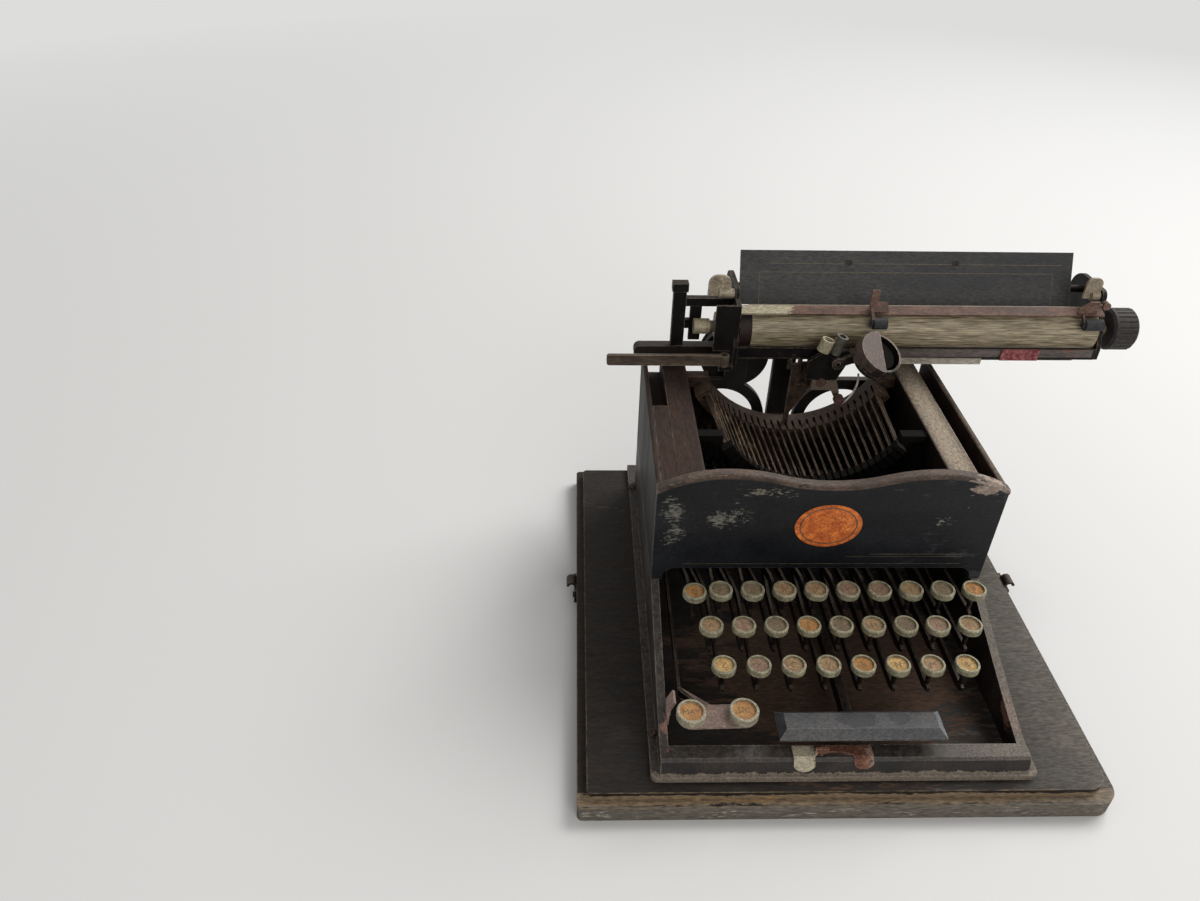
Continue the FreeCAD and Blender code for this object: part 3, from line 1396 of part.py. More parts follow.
# ---- inking and type guide ------------------------------------------------
def type_guide():
    front = pivot_y + guide_behind
    back = front + guide_depth
    top = bar_low - guide_gap
    half = guide_width / 2
    stem = block(machine_x - half, machine_x + half, front, back, print_height - segment_outer, top)
    side = machine_x + half
    leg = profile_along_y([(side, link_top), (ink_foot_left, link_top),
                           (machine_x + guide_leg, print_height - guide_leg_drop),
                           (side, print_height - guide_leg_foot)], front, back)
    basket = Part.makeCylinder(segment_inner, guide_depth, V(machine_x, front, print_height), V(0, 1, 0))
    stem = stem.fuse(leg).common(basket)
    tine_gap = slug_width / 2 + guide_slack
    head = block(machine_x - guide_head / 2, machine_x + guide_head / 2, front, back, top - guide_tines, top)
    notch = block(machine_x - tine_gap, machine_x + tine_gap, front, back, top - guide_notch, top)
    save("type_guide", fuse([stem, head]).cut(notch))


def oiler_tube(front, radius, top, foot):
    """Short open tube in front of the plate, between two (x, height) places."""
    y = front - tube_ahead
    upper = V(top[0], y, print_height + top[1])
    lower = V(foot[0], y, print_height + foot[1])
    down = (lower - upper).normalize()
    return rod(upper, lower, radius).cut(rod(upper, upper + down * tube_bore, radius - tube_wall))


def inking_bracket():
    front = pivot_y - ink_front
    back = front + ink_plate

    def at(x, drop):
        return (x, print_height - drop)

    ear_left = ink_knob_x - ink_knob / 2
    ear_right = ink_knob_x + ink_knob / 2
    plate = profile_along_y([at(ink_foot_left, ink_foot_drop), at(ink_foot_right, ink_foot_drop),
                             at(ear_left, ink_knob_drop + ink_knob / 2),
                             at(ear_right, ink_knob_drop + ink_knob / 2),
                             at(ear_right, ink_knob_drop - ink_knob / 2), at(ear_left, ink_arm_drop),
                             at(ink_right, ink_side_drop), at(ink_right, ink_top_drop),
                             at(ink_neck, ink_top_drop), at(ink_left, ink_side_drop),
                             at(ink_left, ink_arm_drop), at(ink_foot_left, ink_arm_drop)], front, back)
    # link from the plate back to the leg of the type guide
    link = block(machine_x + guide_head / 2, ink_foot_left, back, pivot_y + guide_behind,
                 link_top - ink_link_tall, link_top)
    pin_z = print_height + ink_pin_z
    pin = rod(V(ink_pin_x, front, pin_z), V(ink_pin_x, front - ink_arm - 3 * sliding_gap, pin_z), ink_pin)
    body = fuse([plate, pin])
    left = oiler_tube(front, left_tube, left_tube_top, left_tube_foot).cut(body)
    right = oiler_tube(front, right_tube, right_tube_top, right_tube_foot).cut(body).cut(left)
    screw_seat = V(ink_screw_x, front, print_height - ink_screw_drop)
    screw = Part.makeCylinder(ink_screw, screw_height, screw_seat, V(0, -1, 0))
    head = ink_knob_length / 2
    knob = spun([(0, 0), (ink_shank, 0), (ink_shank, head), (ink_knob, head + screw_height),
                 (ink_knob, ink_knob_length), (0, ink_knob_length)],
                V(ink_knob_x, front, print_height - ink_knob_drop), V(0, -1, 0), V(1, 0, 0))
    # bent wire from the knob towards the cup
    centre = V(wire_x, front - ink_knob_length + ink_shank, print_height - wire_drop)
    turn = math.radians(wire_start)
    start = centre + V(math.cos(turn), 0, math.sin(turn)) * wire_bend
    section = Part.Face(Part.Wire(Part.makeCircle(wire_radius, start, V(-math.sin(turn), 0, math.cos(turn)))))
    wire = section.revolve(centre, V(0, -1, 0), wire_sweep).cut(knob)
    save("inking_bracket", body, left, right, screw, knob, wire, link)


def ink_cup():
    """Round guard of the ink roller on its swinging arm, its left half under a folded lid."""
    centre = V(cup_x, pivot_y + cup_y, print_height + cup_z)
    axis = V(*cup_lean).normalize()
    start = centre - axis * (cup_depth / 2)
    shell = Part.makeCylinder(cup_radius, cup_depth, start, axis)
    hollow = Part.makeCylinder(cup_radius - cup_wall, cup_depth, start + axis * cup_wall, axis)
    # the lid covers the left half and folds down the outside
    left = V(-1, 0, 0) + axis * axis.x
    left.normalize()
    across = axis.cross(left)
    flap_foot = start + axis * (cup_depth - cup_flap)
    cap = Part.makeCylinder(cup_radius + cup_wall, cup_flap + cup_wall, flap_foot, axis)
    cap = cap.cut(Part.makeCylinder(cup_radius, cup_flap, flap_foot, axis))
    wide = 2 * cup_radius
    deep = 2 * cup_depth
    corner = centre - across * wide - axis * deep
    keep = outline([corner, corner + across * (2 * wide), corner + across * (2 * wide) + left * wide,
                    corner + left * wide]).extrude(axis * (2 * deep))
    cap = cap.common(keep)
    front = pivot_y - ink_front
    arm_back = front - sliding_gap
    arm_front = arm_back - ink_arm
    pin_z = print_height + ink_pin_z
    reach = centre.x - cup_radius / 2
    arm = profile_along_y([(ink_pin_x, pin_z - ink_arm), (reach, centre.z - cup_radius / 2),
                           (reach, centre.z), (ink_pin_x, pin_z + ink_arm)], arm_front, arm_back)
    eye = Part.makeCylinder(ink_eye, ink_arm, V(ink_pin_x, arm_front, pin_z), V(0, 1, 0))
    bore = Part.makeCylinder(ink_pin + running_gap, ink_arm, V(ink_pin_x, arm_front, pin_z), V(0, 1, 0))
    inside = Part.makeCylinder(cup_radius - cup_wall / 2, cup_depth, start, axis)
    arm = arm.fuse(eye).cut(bore).cut(inside)
    roller_radius = cup_radius - 3 * cup_wall
    roller = Part.makeCylinder(roller_radius, cup_depth - 3 * cup_wall, start + axis * cup_wall, axis)
    save("ink_cup", fuse([shell.cut(hollow), arm]).fuse(cap).removeSplitter(), roller)


# ---- build ----------------------------------------------------------------
base_board()
board_latches()
base_casting()
front_apron()
side_frame("side_frame_left", -1)
side_frame("side_frame_right", 1)
rear_frame()
type_segment()
typebars()
type_rest()
for order, (name, x, y, top) in enumerate(key_places()):
    key(order, name, x, y, top)
key_fulcrum()
shift_lever()
space_bar()
front_bracket()
finger_spring()
carriage_rail()
carriage_frame()
platen_frame()
platen()
platen_knob()
ratchet_wheel()
line_space_lever()
paper_table()
paper_bail()
paper_finger()
front_scale()
release_lever()
mainspring_drum()
type_guide()
inking_bracket()
ink_cup()
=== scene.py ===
import bpy
import bmesh
import math
from mathutils import Matrix, Vector, noise


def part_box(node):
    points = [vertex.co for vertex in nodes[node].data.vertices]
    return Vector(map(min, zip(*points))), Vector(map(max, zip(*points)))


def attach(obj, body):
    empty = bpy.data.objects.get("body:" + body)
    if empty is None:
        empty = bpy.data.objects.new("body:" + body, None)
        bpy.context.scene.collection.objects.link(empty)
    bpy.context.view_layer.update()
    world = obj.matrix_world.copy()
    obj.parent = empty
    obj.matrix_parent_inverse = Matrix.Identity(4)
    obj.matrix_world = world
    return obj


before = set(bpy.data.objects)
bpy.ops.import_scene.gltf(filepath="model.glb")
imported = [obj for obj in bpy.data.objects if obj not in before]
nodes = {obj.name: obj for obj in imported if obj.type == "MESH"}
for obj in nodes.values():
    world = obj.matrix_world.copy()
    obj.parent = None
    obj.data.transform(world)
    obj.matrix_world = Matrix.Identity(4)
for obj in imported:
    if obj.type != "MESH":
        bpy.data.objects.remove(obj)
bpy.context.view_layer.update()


# ---- base board ----------------------------------------------------------
# The machine stands on a 12 inch board of close-grained wood with a stepped
# edge. Its dark stain is rubbed back to grey-brown wood on every edge.
MM = 0.001


def linear(code):
    """Linear colour of an sRGB hex code."""
    parts = [int(code[i:i + 2], 16) / 255 for i in (1, 3, 5)]
    return [c / 12.92 if c < 0.04045 else ((c + 0.055) / 1.055) ** 2.4 for c in parts] + [1.0]


def add(tree, kind, inputs=None, **settings):
    """Add a node; an input takes a value or another node's output."""
    node = tree.nodes.new("ShaderNode" + kind)
    for name, value in settings.items():
        setattr(node, name, value)
    for name, value in (inputs or {}).items():
        if isinstance(value, bpy.types.NodeSocket):
            tree.links.new(value, node.inputs[name])
        else:
            node.inputs[name].default_value = value
    return node


# A reach along one axis that takes in the whole machine, in mm.
ANY = 9999

# Noise keeps near 0.5, so each layer spreads a narrow band of it over its own range.
MOTTLE_BAND = (0.38, 0.62)
GRIT_BAND, GRIT_SHADE = (0.32, 0.68), (0.62, 1.38)
SHINE_BAND, SHINE_SPREAD = (0.3, 0.7), (-0.08, 0.12)
FLAKE_LEVEL, FLAKE_EDGE, FLAKE_DEPTH = 0.64, 0.03, -0.3
PATCH_SHARE, PATCH_PER_FLAKE = 0.35, 0.15
EDGE_BAND, WORN_BAND, WORN_PER_MM = (0.99, 0.92), (0.38, 0.58), 0.25
LYING_BAND, DRIFT_BAND, DRIFTS_PER_MM, DUST_ROUGH = (0.4, 0.95), (0.36, 0.64), 0.3, 0.9
BUMP_STRENGTH, BUMP_MM = 0.5, 0.4


def laid_over(tree, under, where, tint, shade):
    """A colour with a tint laid over it where a mask is 1; the shade gives the tint its grit."""
    tinted = add(tree, "VectorMath", {0: linear(tint)[:3], "Scale": shade}, operation="SCALE").outputs[0]
    return add(tree, "Mix", {0: where, 6: under, 7: tinted}, data_type="RGBA").outputs[2]


def aged(name, ground, mottle, rough, blotch_mm, metal=0.0, gloss=0.5, flakes=(), rubbed=None, dust=None,
         drawn=(1, 1, 1), grit_mm=1.1, grit=0.15):
    """An old surface: mottled ground, then layers of flakes, rubbed edges and lying dust where given.

    A layer of flakes is (colour, size in mm, spread, roughness), rubbed is (colour, width in mm) and dust
    is (colour, share). Flakes and dust may go on with (middle, reach, more), which adds more of them round
    a place in mm. drawn stretches the whole pattern. Grit is drawn near 1 mm, coarser than real grime,
    so that it shows.
    """
    material = bpy.data.materials.new(name)
    material.use_nodes = True
    tree = material.node_tree
    tree.nodes.clear()
    place = add(tree, "TexCoord").outputs["Object"]
    per_mm = [1 / (MM * s) for s in drawn]
    run = add(tree, "VectorMath", {0: place, 1: per_mm}, operation="MULTIPLY").outputs[0]
    broad = add(tree, "TexNoise", {"Vector": run, "Scale": 1 / blotch_mm, "Detail": 5.0,
                                   "Roughness": 0.6}).outputs["Fac"]
    fine = add(tree, "TexNoise", {"Vector": run, "Scale": 1 / grit_mm, "Detail": 3.0}).outputs["Fac"]
    tone = add(tree, "MapRange", {"Value": broad, "From Min": MOTTLE_BAND[0],
                                  "From Max": MOTTLE_BAND[1]}).outputs[0]
    colour = add(tree, "Mix", {0: tone, 6: linear(ground), 7: linear(mottle)}, data_type="RGBA").outputs[2]
    shade = add(tree, "MapRange", {"Value": fine, "From Min": GRIT_BAND[0], "From Max": GRIT_BAND[1],
                                   "To Min": GRIT_SHADE[0], "To Max": GRIT_SHADE[1]}).outputs[0]
    colour = add(tree, "VectorMath", {0: colour, "Scale": shade}, operation="SCALE").outputs[0]
    shine = add(tree, "MapRange", {"Value": broad, "From Min": SHINE_BAND[0], "From Max": SHINE_BAND[1],
                                   "To Min": rough + SHINE_SPREAD[0],
                                   "To Max": rough + SHINE_SPREAD[1]}).outputs[0]
    height = add(tree, "Math", {0: fine, 1: grit}, operation="MULTIPLY").outputs[0]
    steel = metal
    for tint, size_mm, spread, flake_rough, *zone in flakes:
        chips = add(tree, "TexNoise", {"Vector": run, "Scale": 1 / size_mm, "Detail": 8.0,
                                       "Roughness": 0.7}).outputs["Fac"]
        patch = add(tree, "TexNoise", {"Vector": run, "Scale": PATCH_PER_FLAKE / size_mm,
                                       "Detail": 2.0}).outputs["Fac"]
        chips = add(tree, "Mix", {0: PATCH_SHARE, 2: chips, 3: patch}).outputs[0]
        if zone:
            near = closeness(tree, place, *zone)
            chips = add(tree, "Math", {0: chips, 1: near}, operation="ADD").outputs[0]
        start = FLAKE_LEVEL - spread
        where = add(tree, "MapRange", {"Value": chips, "From Min": start,
                                       "From Max": start + FLAKE_EDGE}).outputs[0]
        colour = laid_over(tree, colour, where, tint, shade)
        shine = add(tree, "Mix", {0: where, 2: shine, 3: flake_rough}).outputs[0]
        step = add(tree, "Math", {0: where, 1: FLAKE_DEPTH}, operation="MULTIPLY").outputs[0]
        height = add(tree, "Math", {0: height, 1: step}, operation="ADD").outputs[0]
        if metal:
            steel = add(tree, "Mix", {0: where, 2: steel, 3: 0.0}).outputs[0]
    if rubbed:
        tint, width_mm = rubbed
        soft = add(tree, "Bevel", {"Radius": width_mm * MM}, samples=6).outputs[0]
        flat = add(tree, "NewGeometry").outputs["True Normal"]
        along = add(tree, "VectorMath", {0: soft, 1: flat}, operation="DOT_PRODUCT").outputs["Value"]
        edge = add(tree, "MapRange", {"Value": along, "From Min": EDGE_BAND[0],
                                      "From Max": EDGE_BAND[1]}).outputs[0]
        broken = add(tree, "TexNoise", {"Vector": run, "Scale": WORN_PER_MM, "Detail": 7.0,
                                        "Roughness": 0.7}).outputs["Fac"]
        broken = add(tree, "MapRange", {"Value": broken, "From Min": WORN_BAND[0],
                                        "From Max": WORN_BAND[1]}).outputs[0]
        edge = add(tree, "Math", {0: edge, 1: broken}, operation="MULTIPLY").outputs[0]
        colour = laid_over(tree, colour, edge, tint, shade)
    if dust:
        tint, share, *zone = dust
        up = add(tree, "SeparateXYZ", {0: add(tree, "NewGeometry").outputs["Normal"]}).outputs["Z"]
        flat = add(tree, "MapRange", {"Value": up, "From Min": LYING_BAND[0],
                                      "From Max": LYING_BAND[1]}).outputs[0]
        drift = add(tree, "TexNoise", {"Vector": run, "Scale": DRIFTS_PER_MM, "Detail": 8.0,
                                       "Roughness": 0.72}).outputs["Fac"]
        drift = add(tree, "MapRange", {"Value": drift, "From Min": DRIFT_BAND[0],
                                       "From Max": DRIFT_BAND[1], "To Max": share}).outputs[0]
        if zone:
            near = closeness(tree, place, *zone)
            drift = add(tree, "Math", {0: drift, 1: near}, operation="ADD", use_clamp=True).outputs[0]
        lying = add(tree, "Math", {0: flat, 1: drift}, operation="MULTIPLY").outputs[0]
        colour = laid_over(tree, colour, lying, tint, shade)
        shine = add(tree, "Mix", {0: lying, 2: shine, 3: DUST_ROUGH}).outputs[0]
        if metal:
            clean = add(tree, "Math", {0: 1.0, 1: lying}, operation="SUBTRACT").outputs[0]
            steel = add(tree, "Math", {0: clean, 1: steel}, operation="MULTIPLY").outputs[0]
    bump = add(tree, "Bump", {"Height": height, "Strength": BUMP_STRENGTH,
                              "Distance": BUMP_MM * MM}).outputs[0]
    shader = add(tree, "BsdfPrincipled", {"Base Color": colour, "Roughness": shine, "Metallic": steel,
                                          "Specular IOR Level": gloss, "Normal": bump})
    add(tree, "OutputMaterial", {"Surface": shader.outputs[0]})
    return material


def closeness(tree, place, middle, reach, most):
    """How near a place is to a spot in mm: 0 at its reach, most in its inner part."""
    inner = 0.3
    away = add(tree, "VectorMath", {0: place, 1: [c * MM for c in middle]}, operation="SUBTRACT").outputs[0]
    away = add(tree, "VectorMath", {0: away, 1: [r * MM for r in reach]}, operation="DIVIDE").outputs[0]
    away = add(tree, "VectorMath", {0: away}, operation="LENGTH").outputs["Value"]
    return add(tree, "MapRange", {"Value": away, "From Min": 1.0, "From Max": inner,
                                  "To Max": most}).outputs[0]


def paint(node, *materials):
    """Give a carried-over solid its materials; all its faces start with the first, number 0."""
    mesh = nodes[node].data
    mesh.materials.clear()
    for material in materials:
        mesh.materials.append(material)
    for face in mesh.polygons:
        face.material_index = 0
    return mesh


def soften(node, width_mm, segments=2, angle=35):
    """Round the sharp edges of a casting or a board by width_mm."""
    weld = nodes[node].modifiers.new("joined", "WELD")
    weld.merge_threshold = 0.01 * MM
    bevel = nodes[node].modifiers.new("rounded", "BEVEL")
    bevel.width = width_mm * MM
    bevel.segments = segments
    bevel.limit_method = "ANGLE"
    bevel.angle_limit = math.radians(angle)
    bevel.harden_normals = True


# Spirit-stained hardwood: nearly black stain, greyed at the right by patches and dust that are also a
# painted sheen of the window light, bare brown wood on the ledge, a worn grey front that is partly painted
# sheen, brown dirt in the well.
stained_wood = aged("stained_hardwood", "#15110e", "#251e19", 0.58, 9, gloss=0.2,
                    flakes=(("#46403a", 6, 0.0, 0.8, (150, 0, 10), (150, ANY, ANY), 0.09),
                            ("#7f6d57", 1.6, -0.06, 0.8, (-30, -148, 12), (ANY, 7, 5), 0.36),
                            ("#9c7f57", 1.2, -0.08, 0.8, (-70, -148, 12), (90, 6, 5), 0.2),
                            ("#635d54", 5, 0.0, 0.8, (0, -155, 6), (ANY, 5, 12), 0.42),
                            ("#8f8a80", 1.0, -0.05, 0.8, (40, -155, 6), (ANY, 5, 12), 0.12),
                            ("#48362b", 7, 0.0, 0.85, (-2, -60, 17), (125, 100, 6), 0.3),
                            ("#8f8676", 1.0, -0.08, 0.8)),
                    rubbed=("#7d6a52", 1.0), dust=("#7c766d", 0.04, (170, -40, 17), (80, ANY, ANY), 0.5),
                    drawn=(4, 1, 1), grit_mm=1.0, grit=0.3)
paint("base_board", stained_wood)
soften("base_board", 0.8)


def add_piece(name, form, material, body):
    """Turn a bmesh form into a piece that rides on a body."""
    mesh = bpy.data.meshes.new(name)
    form.to_mesh(mesh)
    form.free()
    mesh.materials.append(material)
    piece = bpy.data.objects.new(name, mesh)
    bpy.context.scene.collection.objects.link(piece)
    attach(piece, body)
    return piece


def ribbon(form, points, across, width_mm):
    """Flat line of paint or dirt through points, widened along across."""
    half = Vector(across).normalized() * (width_mm * MM / 2)
    rows = [(form.verts.new(Vector(p) - half), form.verts.new(Vector(p) + half)) for p in points]
    for (a, b), (c, d) in zip(rows, rows[1:]):
        form.faces.new((a, c, d, b))


# Thin trim lies this far in front of the face that carries it.
PROUD = 0.05 * MM

# A drying crack in the board runs back from the space bar.

# The crack: black, with no shine.
crack_black = aged("crack_black", "#070605", "#120e0c", 0.9, 5)
crack = bmesh.new()
BOARD_TOP = 17.4 * MM
CRACK_WIDTH_MM = 1.1
crack_line = [(13.4, -136.0), (13.0, -112.0), (12.2, -92.0), (12.6, -76.0), (11.4, -60.0), (11.8, -40.0)]
ribbon(crack, [(x * MM, y * MM, BOARD_TOP + PROUD) for x, y in crack_line], (1, 0, 0), CRACK_WIDTH_MM)
add_piece("board_crack", crack, crack_black, "machine_frame")

# ---- cover latches -------------------------------------------------------
# A hook on each side of the board held the travelling cover. Each is bent
# from a strip of blackened spring steel and fixed to the board's edge.

# Oxide-blackened steel: dark and satin, with brown bloom and pale rubbed edges.
browned_steel = aged("browned_spring_steel", "#17120f", "#2b211b", 0.45, 14, metal=0.6,
                     flakes=(("#4a3327", 4, 0.1, 0.8),), rubbed=("#6d5c4d", 0.5), dust=("#5a4b3f", 0.5))
paint("board_latches", browned_steel)

# ---- cast base -----------------------------------------------------------
# One grey-iron casting with a flange, two side walls and a front rim round
# the keyboard well, stove-japanned black and screwed to the board.

# Stoved japan: a dull black film, grey-brown where worn, pale iron on its edges, with dust laid thicker on
# the right that is also a painted sheen.
black_japan = aged("stoved_black_japan", "#1a1614", "#302925", 0.5, 20, gloss=0.3,
                   flakes=(("#766b5e", 3, 0.0, 0.75, (0, -142, 19), (ANY, 6, 6), 0.4),
                           ("#7d594e", 5, -0.08, 0.85, (99, -112, 38), (12, 30, 18), 0.3),
                           ("#7d594e", 5, -0.08, 0.85, (-99, -118, 32), (12, 30, 12), 0.22)),
                   rubbed=("#8d8173", 1.0), dust=("#7b736a", 0.3, (112, -60, 31), (70, ANY, ANY), 0.6))
paint("base_casting", black_japan)
soften("base_casting", 0.7)


def slotted_screw(form, place, facing, radius_mm, height_mm, turn):
    """Cheese-head screw: a round head with rounded rim, split by its slot."""
    slot = radius_mm * 0.18
    axis = Vector(facing)
    side = axis.orthogonal().normalized()
    side.rotate(Matrix.Rotation(math.radians(turn), 3, axis))
    other = axis.cross(side)
    steps = 10
    low = math.asin(slot / radius_mm)
    for half in (1, -1):
        rows = []
        for share, lift in ((1.0, 0.0), (1.0, 0.7), (0.86, 1.0)):
            row = []
            for step in range(steps + 1):
                angle = low + (math.pi - 2 * low) * step / steps
                across = math.cos(angle) * radius_mm * share
                out = max(math.sin(angle) * radius_mm * share, slot) * half
                spot = Vector(place) + (side * across + other * out + axis * (lift * height_mm)) * MM
                row.append(form.verts.new(spot))
            rows.append(row)
        for near, far in zip(rows, rows[1:]):
            for step in range(steps):
                form.faces.new((near[step], near[step + 1], far[step + 1], far[step])[::half])
            form.faces.new((near[0], far[0], far[-1], near[-1])[::half])
        form.faces.new(rows[-1][::half])


# Steel screws with slotted heads hold the base to the board.
FLANGE_TOP = 22.8 * MM
HEAD_RADIUS_MM, HEAD_HEIGHT_MM = 2.7, 0.7
screws = bmesh.new()
for x, turn in ((-109.2, 20), (105.4, 70)):
    for y, more in ((-111.5, 15), (120.0, 50)):
        slotted_screw(screws, (x * MM, y * MM, FLANGE_TOP), (0, 0, 1), HEAD_RADIUS_MM, HEAD_HEIGHT_MM,
                      turn + more)
add_piece("foot_screws", screws, browned_steel, "machine_frame")

# ---- front apron ---------------------------------------------------------
# Cast iron plate with a rolled lip of two humps, japanned blue-black and
# fixed across the side frames; the lip is worn through to brown primer.

# Blue-black japan: cool and smooth, flaked in level spots down to grey filler, greyed towards the right end
# by a painted sheen.
apron_japan = aged("blue_black_japan", "#111215", "#1d1e21", 0.45, 30, gloss=0.25,
                   flakes=(("#303134", 12, -0.02, 0.6, (95, -28, 110), (90, ANY, ANY), 0.12),
                           ("#6b695e", 1.2, -0.03, 0.85, (-60, -28, 115), (27, ANY, 15), 0.18),
                           ("#66645b", 1.2, -0.03, 0.85, (-96, -28, 113), (13, ANY, 26), 0.19),
                           ("#716b60", 1.5, -0.03, 0.85, (-40, -28, 136), (36, ANY, 8), 0.18),
                           ("#6d6b64", 1.4, -0.04, 0.85, (68, -28, 111), (16, ANY, 7), 0.16),
                           ("#8f8075", 3.0, -0.04, 0.85, (88, -28, 138), (20, ANY, 8), 0.25)),
                   rubbed=("#55504b", 0.8), drawn=(2.2, 1, 1), grit_mm=1.4)
# Worn primer: a brown, matt edge, streaked along the lip, greyer where it is bare.
lip_primer = aged("worn_lip_primer", "#2b201a", "#5a4b41", 0.6, 12, gloss=0.3,
                  flakes=(("#9c8c81", 4, 0.0, 0.8, (88, -26, 138), (24, ANY, 12), 0.24),
                          ("#57463c", 5, 0.0, 0.8, (-75, -26, 145), (42, ANY, 12), 0.14),
                          ("#16120f", 5, -0.02, 0.6, (-15, -26, 141), (60, ANY, 12), 0.1)),
                  rubbed=("#8d8175", 0.6), dust=("#75675b", 0.2), drawn=(2, 1, 1))
apron_mesh = paint("front_apron", apron_japan, lip_primer)
APRON_FRONT = -28.1 * MM
APRON_BACK = -23.1 * MM
LIP_LOW = 134.6 * MM
ON_FACE = 0.01 * MM
for face in apron_mesh.polygons:
    flat = min(abs(face.center.y - APRON_FRONT), abs(face.center.y - APRON_BACK)) < ON_FACE
    if face.center.z > LIP_LOW and not flat:
        face.material_index = 1
soften("front_apron", 0.5)

# Dull gilt pinlines were ruled along the lower edge, and a plain oval of
# bronze paint with one border line sits in the middle.

# Ruled gilt: so dull that it is a brown-grey line with a faint glint.
old_gilt = aged("dulled_gilt_line", "#4d4638", "#6a6250", 0.6, 6, metal=0.3)
pinlines = bmesh.new()
LINE_RIGHT = 87
LINE_PROUD = 0.06 * MM
for z, left, width in ((86.0, 29, 0.5), (84.0, 14, 0.35), (78.0, -88, 0.4)):
    line = [(x * MM, APRON_FRONT - LINE_PROUD, z * MM) for x in (left, (left + LINE_RIGHT) / 2, LINE_RIGHT)]
    ribbon(pinlines, line, (0, 0, 1), width)
add_piece("apron_pinlines", pinlines, old_gilt, "machine_frame")

# Bronze paint: warm orange, almost matt, with dark and pale worn specks.
bronze_paint = aged("orange_bronze_paint", "#b5561f", "#dd7a33", 0.6, 6,
                    flakes=(("#5f2f15", 2, 0.0, 0.8), ("#e0a050", 2.5, 0.03, 0.7)))
OVAL_X, OVAL_Z, OVAL_WIDE, OVAL_TALL = -1.0 * MM, 108.8 * MM, 20.5 * MM, 16.5 * MM


def oval(form, share, lift, inner=0.0):
    """Flat oval in front of the apron, or the ring between two ovals."""
    count = 72
    rings = []
    for size in ((share, inner) if inner else (share,)):
        ring = []
        for step in range(count):
            turn = 2 * math.pi * step / count
            x = OVAL_X + OVAL_WIDE * size * math.cos(turn)
            z = OVAL_Z + OVAL_TALL * size * math.sin(turn)
            ring.append(form.verts.new((x, APRON_FRONT - lift, z)))
        rings.append(ring)
    if not inner:
        form.faces.new(rings[0])
        return
    for step in range(count):
        after = (step + 1) % count
        form.faces.new((rings[0][step], rings[0][after], rings[1][after], rings[1][step]))


BORDER_OUTER, BORDER_INNER = 0.86, 0.82
badge = bmesh.new()
oval(badge, 1.0, PROUD)
add_piece("apron_oval", badge, bronze_paint, "machine_frame")
border = bmesh.new()
oval(border, BORDER_OUTER, 2 * PROUD, BORDER_INNER)
add_piece("apron_oval_border", border, old_gilt, "machine_frame")

# ---- side frames ---------------------------------------------------------
# Two iron castings with a flat rail on top and a gutter beside it, japanned
# black. The left rail is rubbed brown, the right one is grey with dust and a painted sheen of the window
# light.

# Rubbed japan: brown, with the wear running along the rail.
left_rail = aged("rubbed_rail_japan", "#1b120d", "#30231b", 0.62, 12, gloss=0.2,
                 flakes=(("#523f32", 4, 0.0, 0.8, (-88, -5, 137), (20, 60, ANY), 0.06),
                         ("#1a120e", 3, 0.02, 0.8)),
                 rubbed=("#86776a", 1.0), dust=("#453228", 0.2, (-88, 0, 137), (30, 90, ANY), 0.3),
                 drawn=(1, 4, 1), grit_mm=1.4)
# The same japan under dry dust and a painted sheen of the window light: pale grey-brown grit over brown.
right_rail_dust_and_sheen = aged("dusty_sheened_rail_japan", "#33271f", "#5f5042", 0.65, 10, gloss=0.3,
                  flakes=(("#8a7866", 3, 0.02, 0.85), ("#2c221c", 2.0, 0.0, 0.8)),
                  rubbed=("#a3968a", 1.0), dust=("#b3a48f", 0.1, (80.5, 0, 137), (10, ANY, ANY), 0.55),
                  drawn=(1, 2, 1), grit_mm=1.4)
# Japan that few hands reach: near black, streaked downwards with a few pale marks that are painted
# highlights of its rounded ribs.
side_japan = aged("outer_side_japan", "#0c0908", "#191411", 0.55, 16, gloss=0.15,
                  flakes=(("#6b655e", 2.5, -0.02, 0.7),), rubbed=("#77706a", 1.2), drawn=(1, 1, 6))
# The gutter: dark brown, no shine.
gutter_dark_brown = aged("gutter_dark_brown", "#1c1310", "#33251e", 0.75, 12, gloss=0.15,
                   flakes=(("#4d3b30", 4, 0.05, 0.9),))
# Distances across are measured from the middle of the machine.
RAIL_TOP = 137.0 * MM
MIDDLE = -1.9 * MM
GUTTER_IN, GUTTER_OUT = 90.9 * MM, 101.2 * MM
GUTTER_DEEP = 1.0 * MM
OUTER_FACE, INNER_FACE = 104.4 * MM, 74.2 * MM
for side, rail in (("left", left_rail), ("right", right_rail_dust_and_sheen)):
    mesh = paint("side_frame_" + side, rail, gutter_dark_brown, side_japan)
    for face in mesh.polygons:
        across = abs(face.center.x - MIDDLE)
        if GUTTER_IN < across < GUTTER_OUT and face.center.z < RAIL_TOP - GUTTER_DEEP:
            face.material_index = 1
        elif across > OUTER_FACE or (across < INNER_FACE and abs(face.normal.x) > 0.5):
            face.material_index = 2
    soften("side_frame_" + side, 0.4)

# ---- rear frame ----------------------------------------------------------
# Cast back with two round openings and a column for the carriage rail, in
# plain black japan that was seldom touched.

# Plain japan: an even black, dusty where it lies flat.
rear_japan = aged("rear_black_japan", "#0f0d0c", "#1e1916", 0.55, 25, gloss=0.3,
                  flakes=(("#3a2f27", 6, 0.03, 0.8),), rubbed=("#5c5047", 0.8), dust=("#5a4d42", 0.6))
paint("rear_frame", rear_japan)
soften("rear_frame", 0.4)

# ---- type basket ---------------------------------------------------------
# Milled steel segment with 27 forged typebars in its slots, resting on a
# U-shaped cradle. Steel gone brown under oil and dust, edges rubbed pale; the
# pale edges of the typebars are also painted highlights.

# Milled steel under old oil: brown, partly metal, with pale rubbed edges.
oiled_steel = aged("browned_milled_steel", "#2b2019", "#4c3b2f", 0.55, 9, metal=0.3, gloss=0.3,
                   flakes=(("#6b5443", 3, 0.04, 0.8),), rubbed=("#8f7a66", 0.5), dust=("#6d5c4e", 0.6))
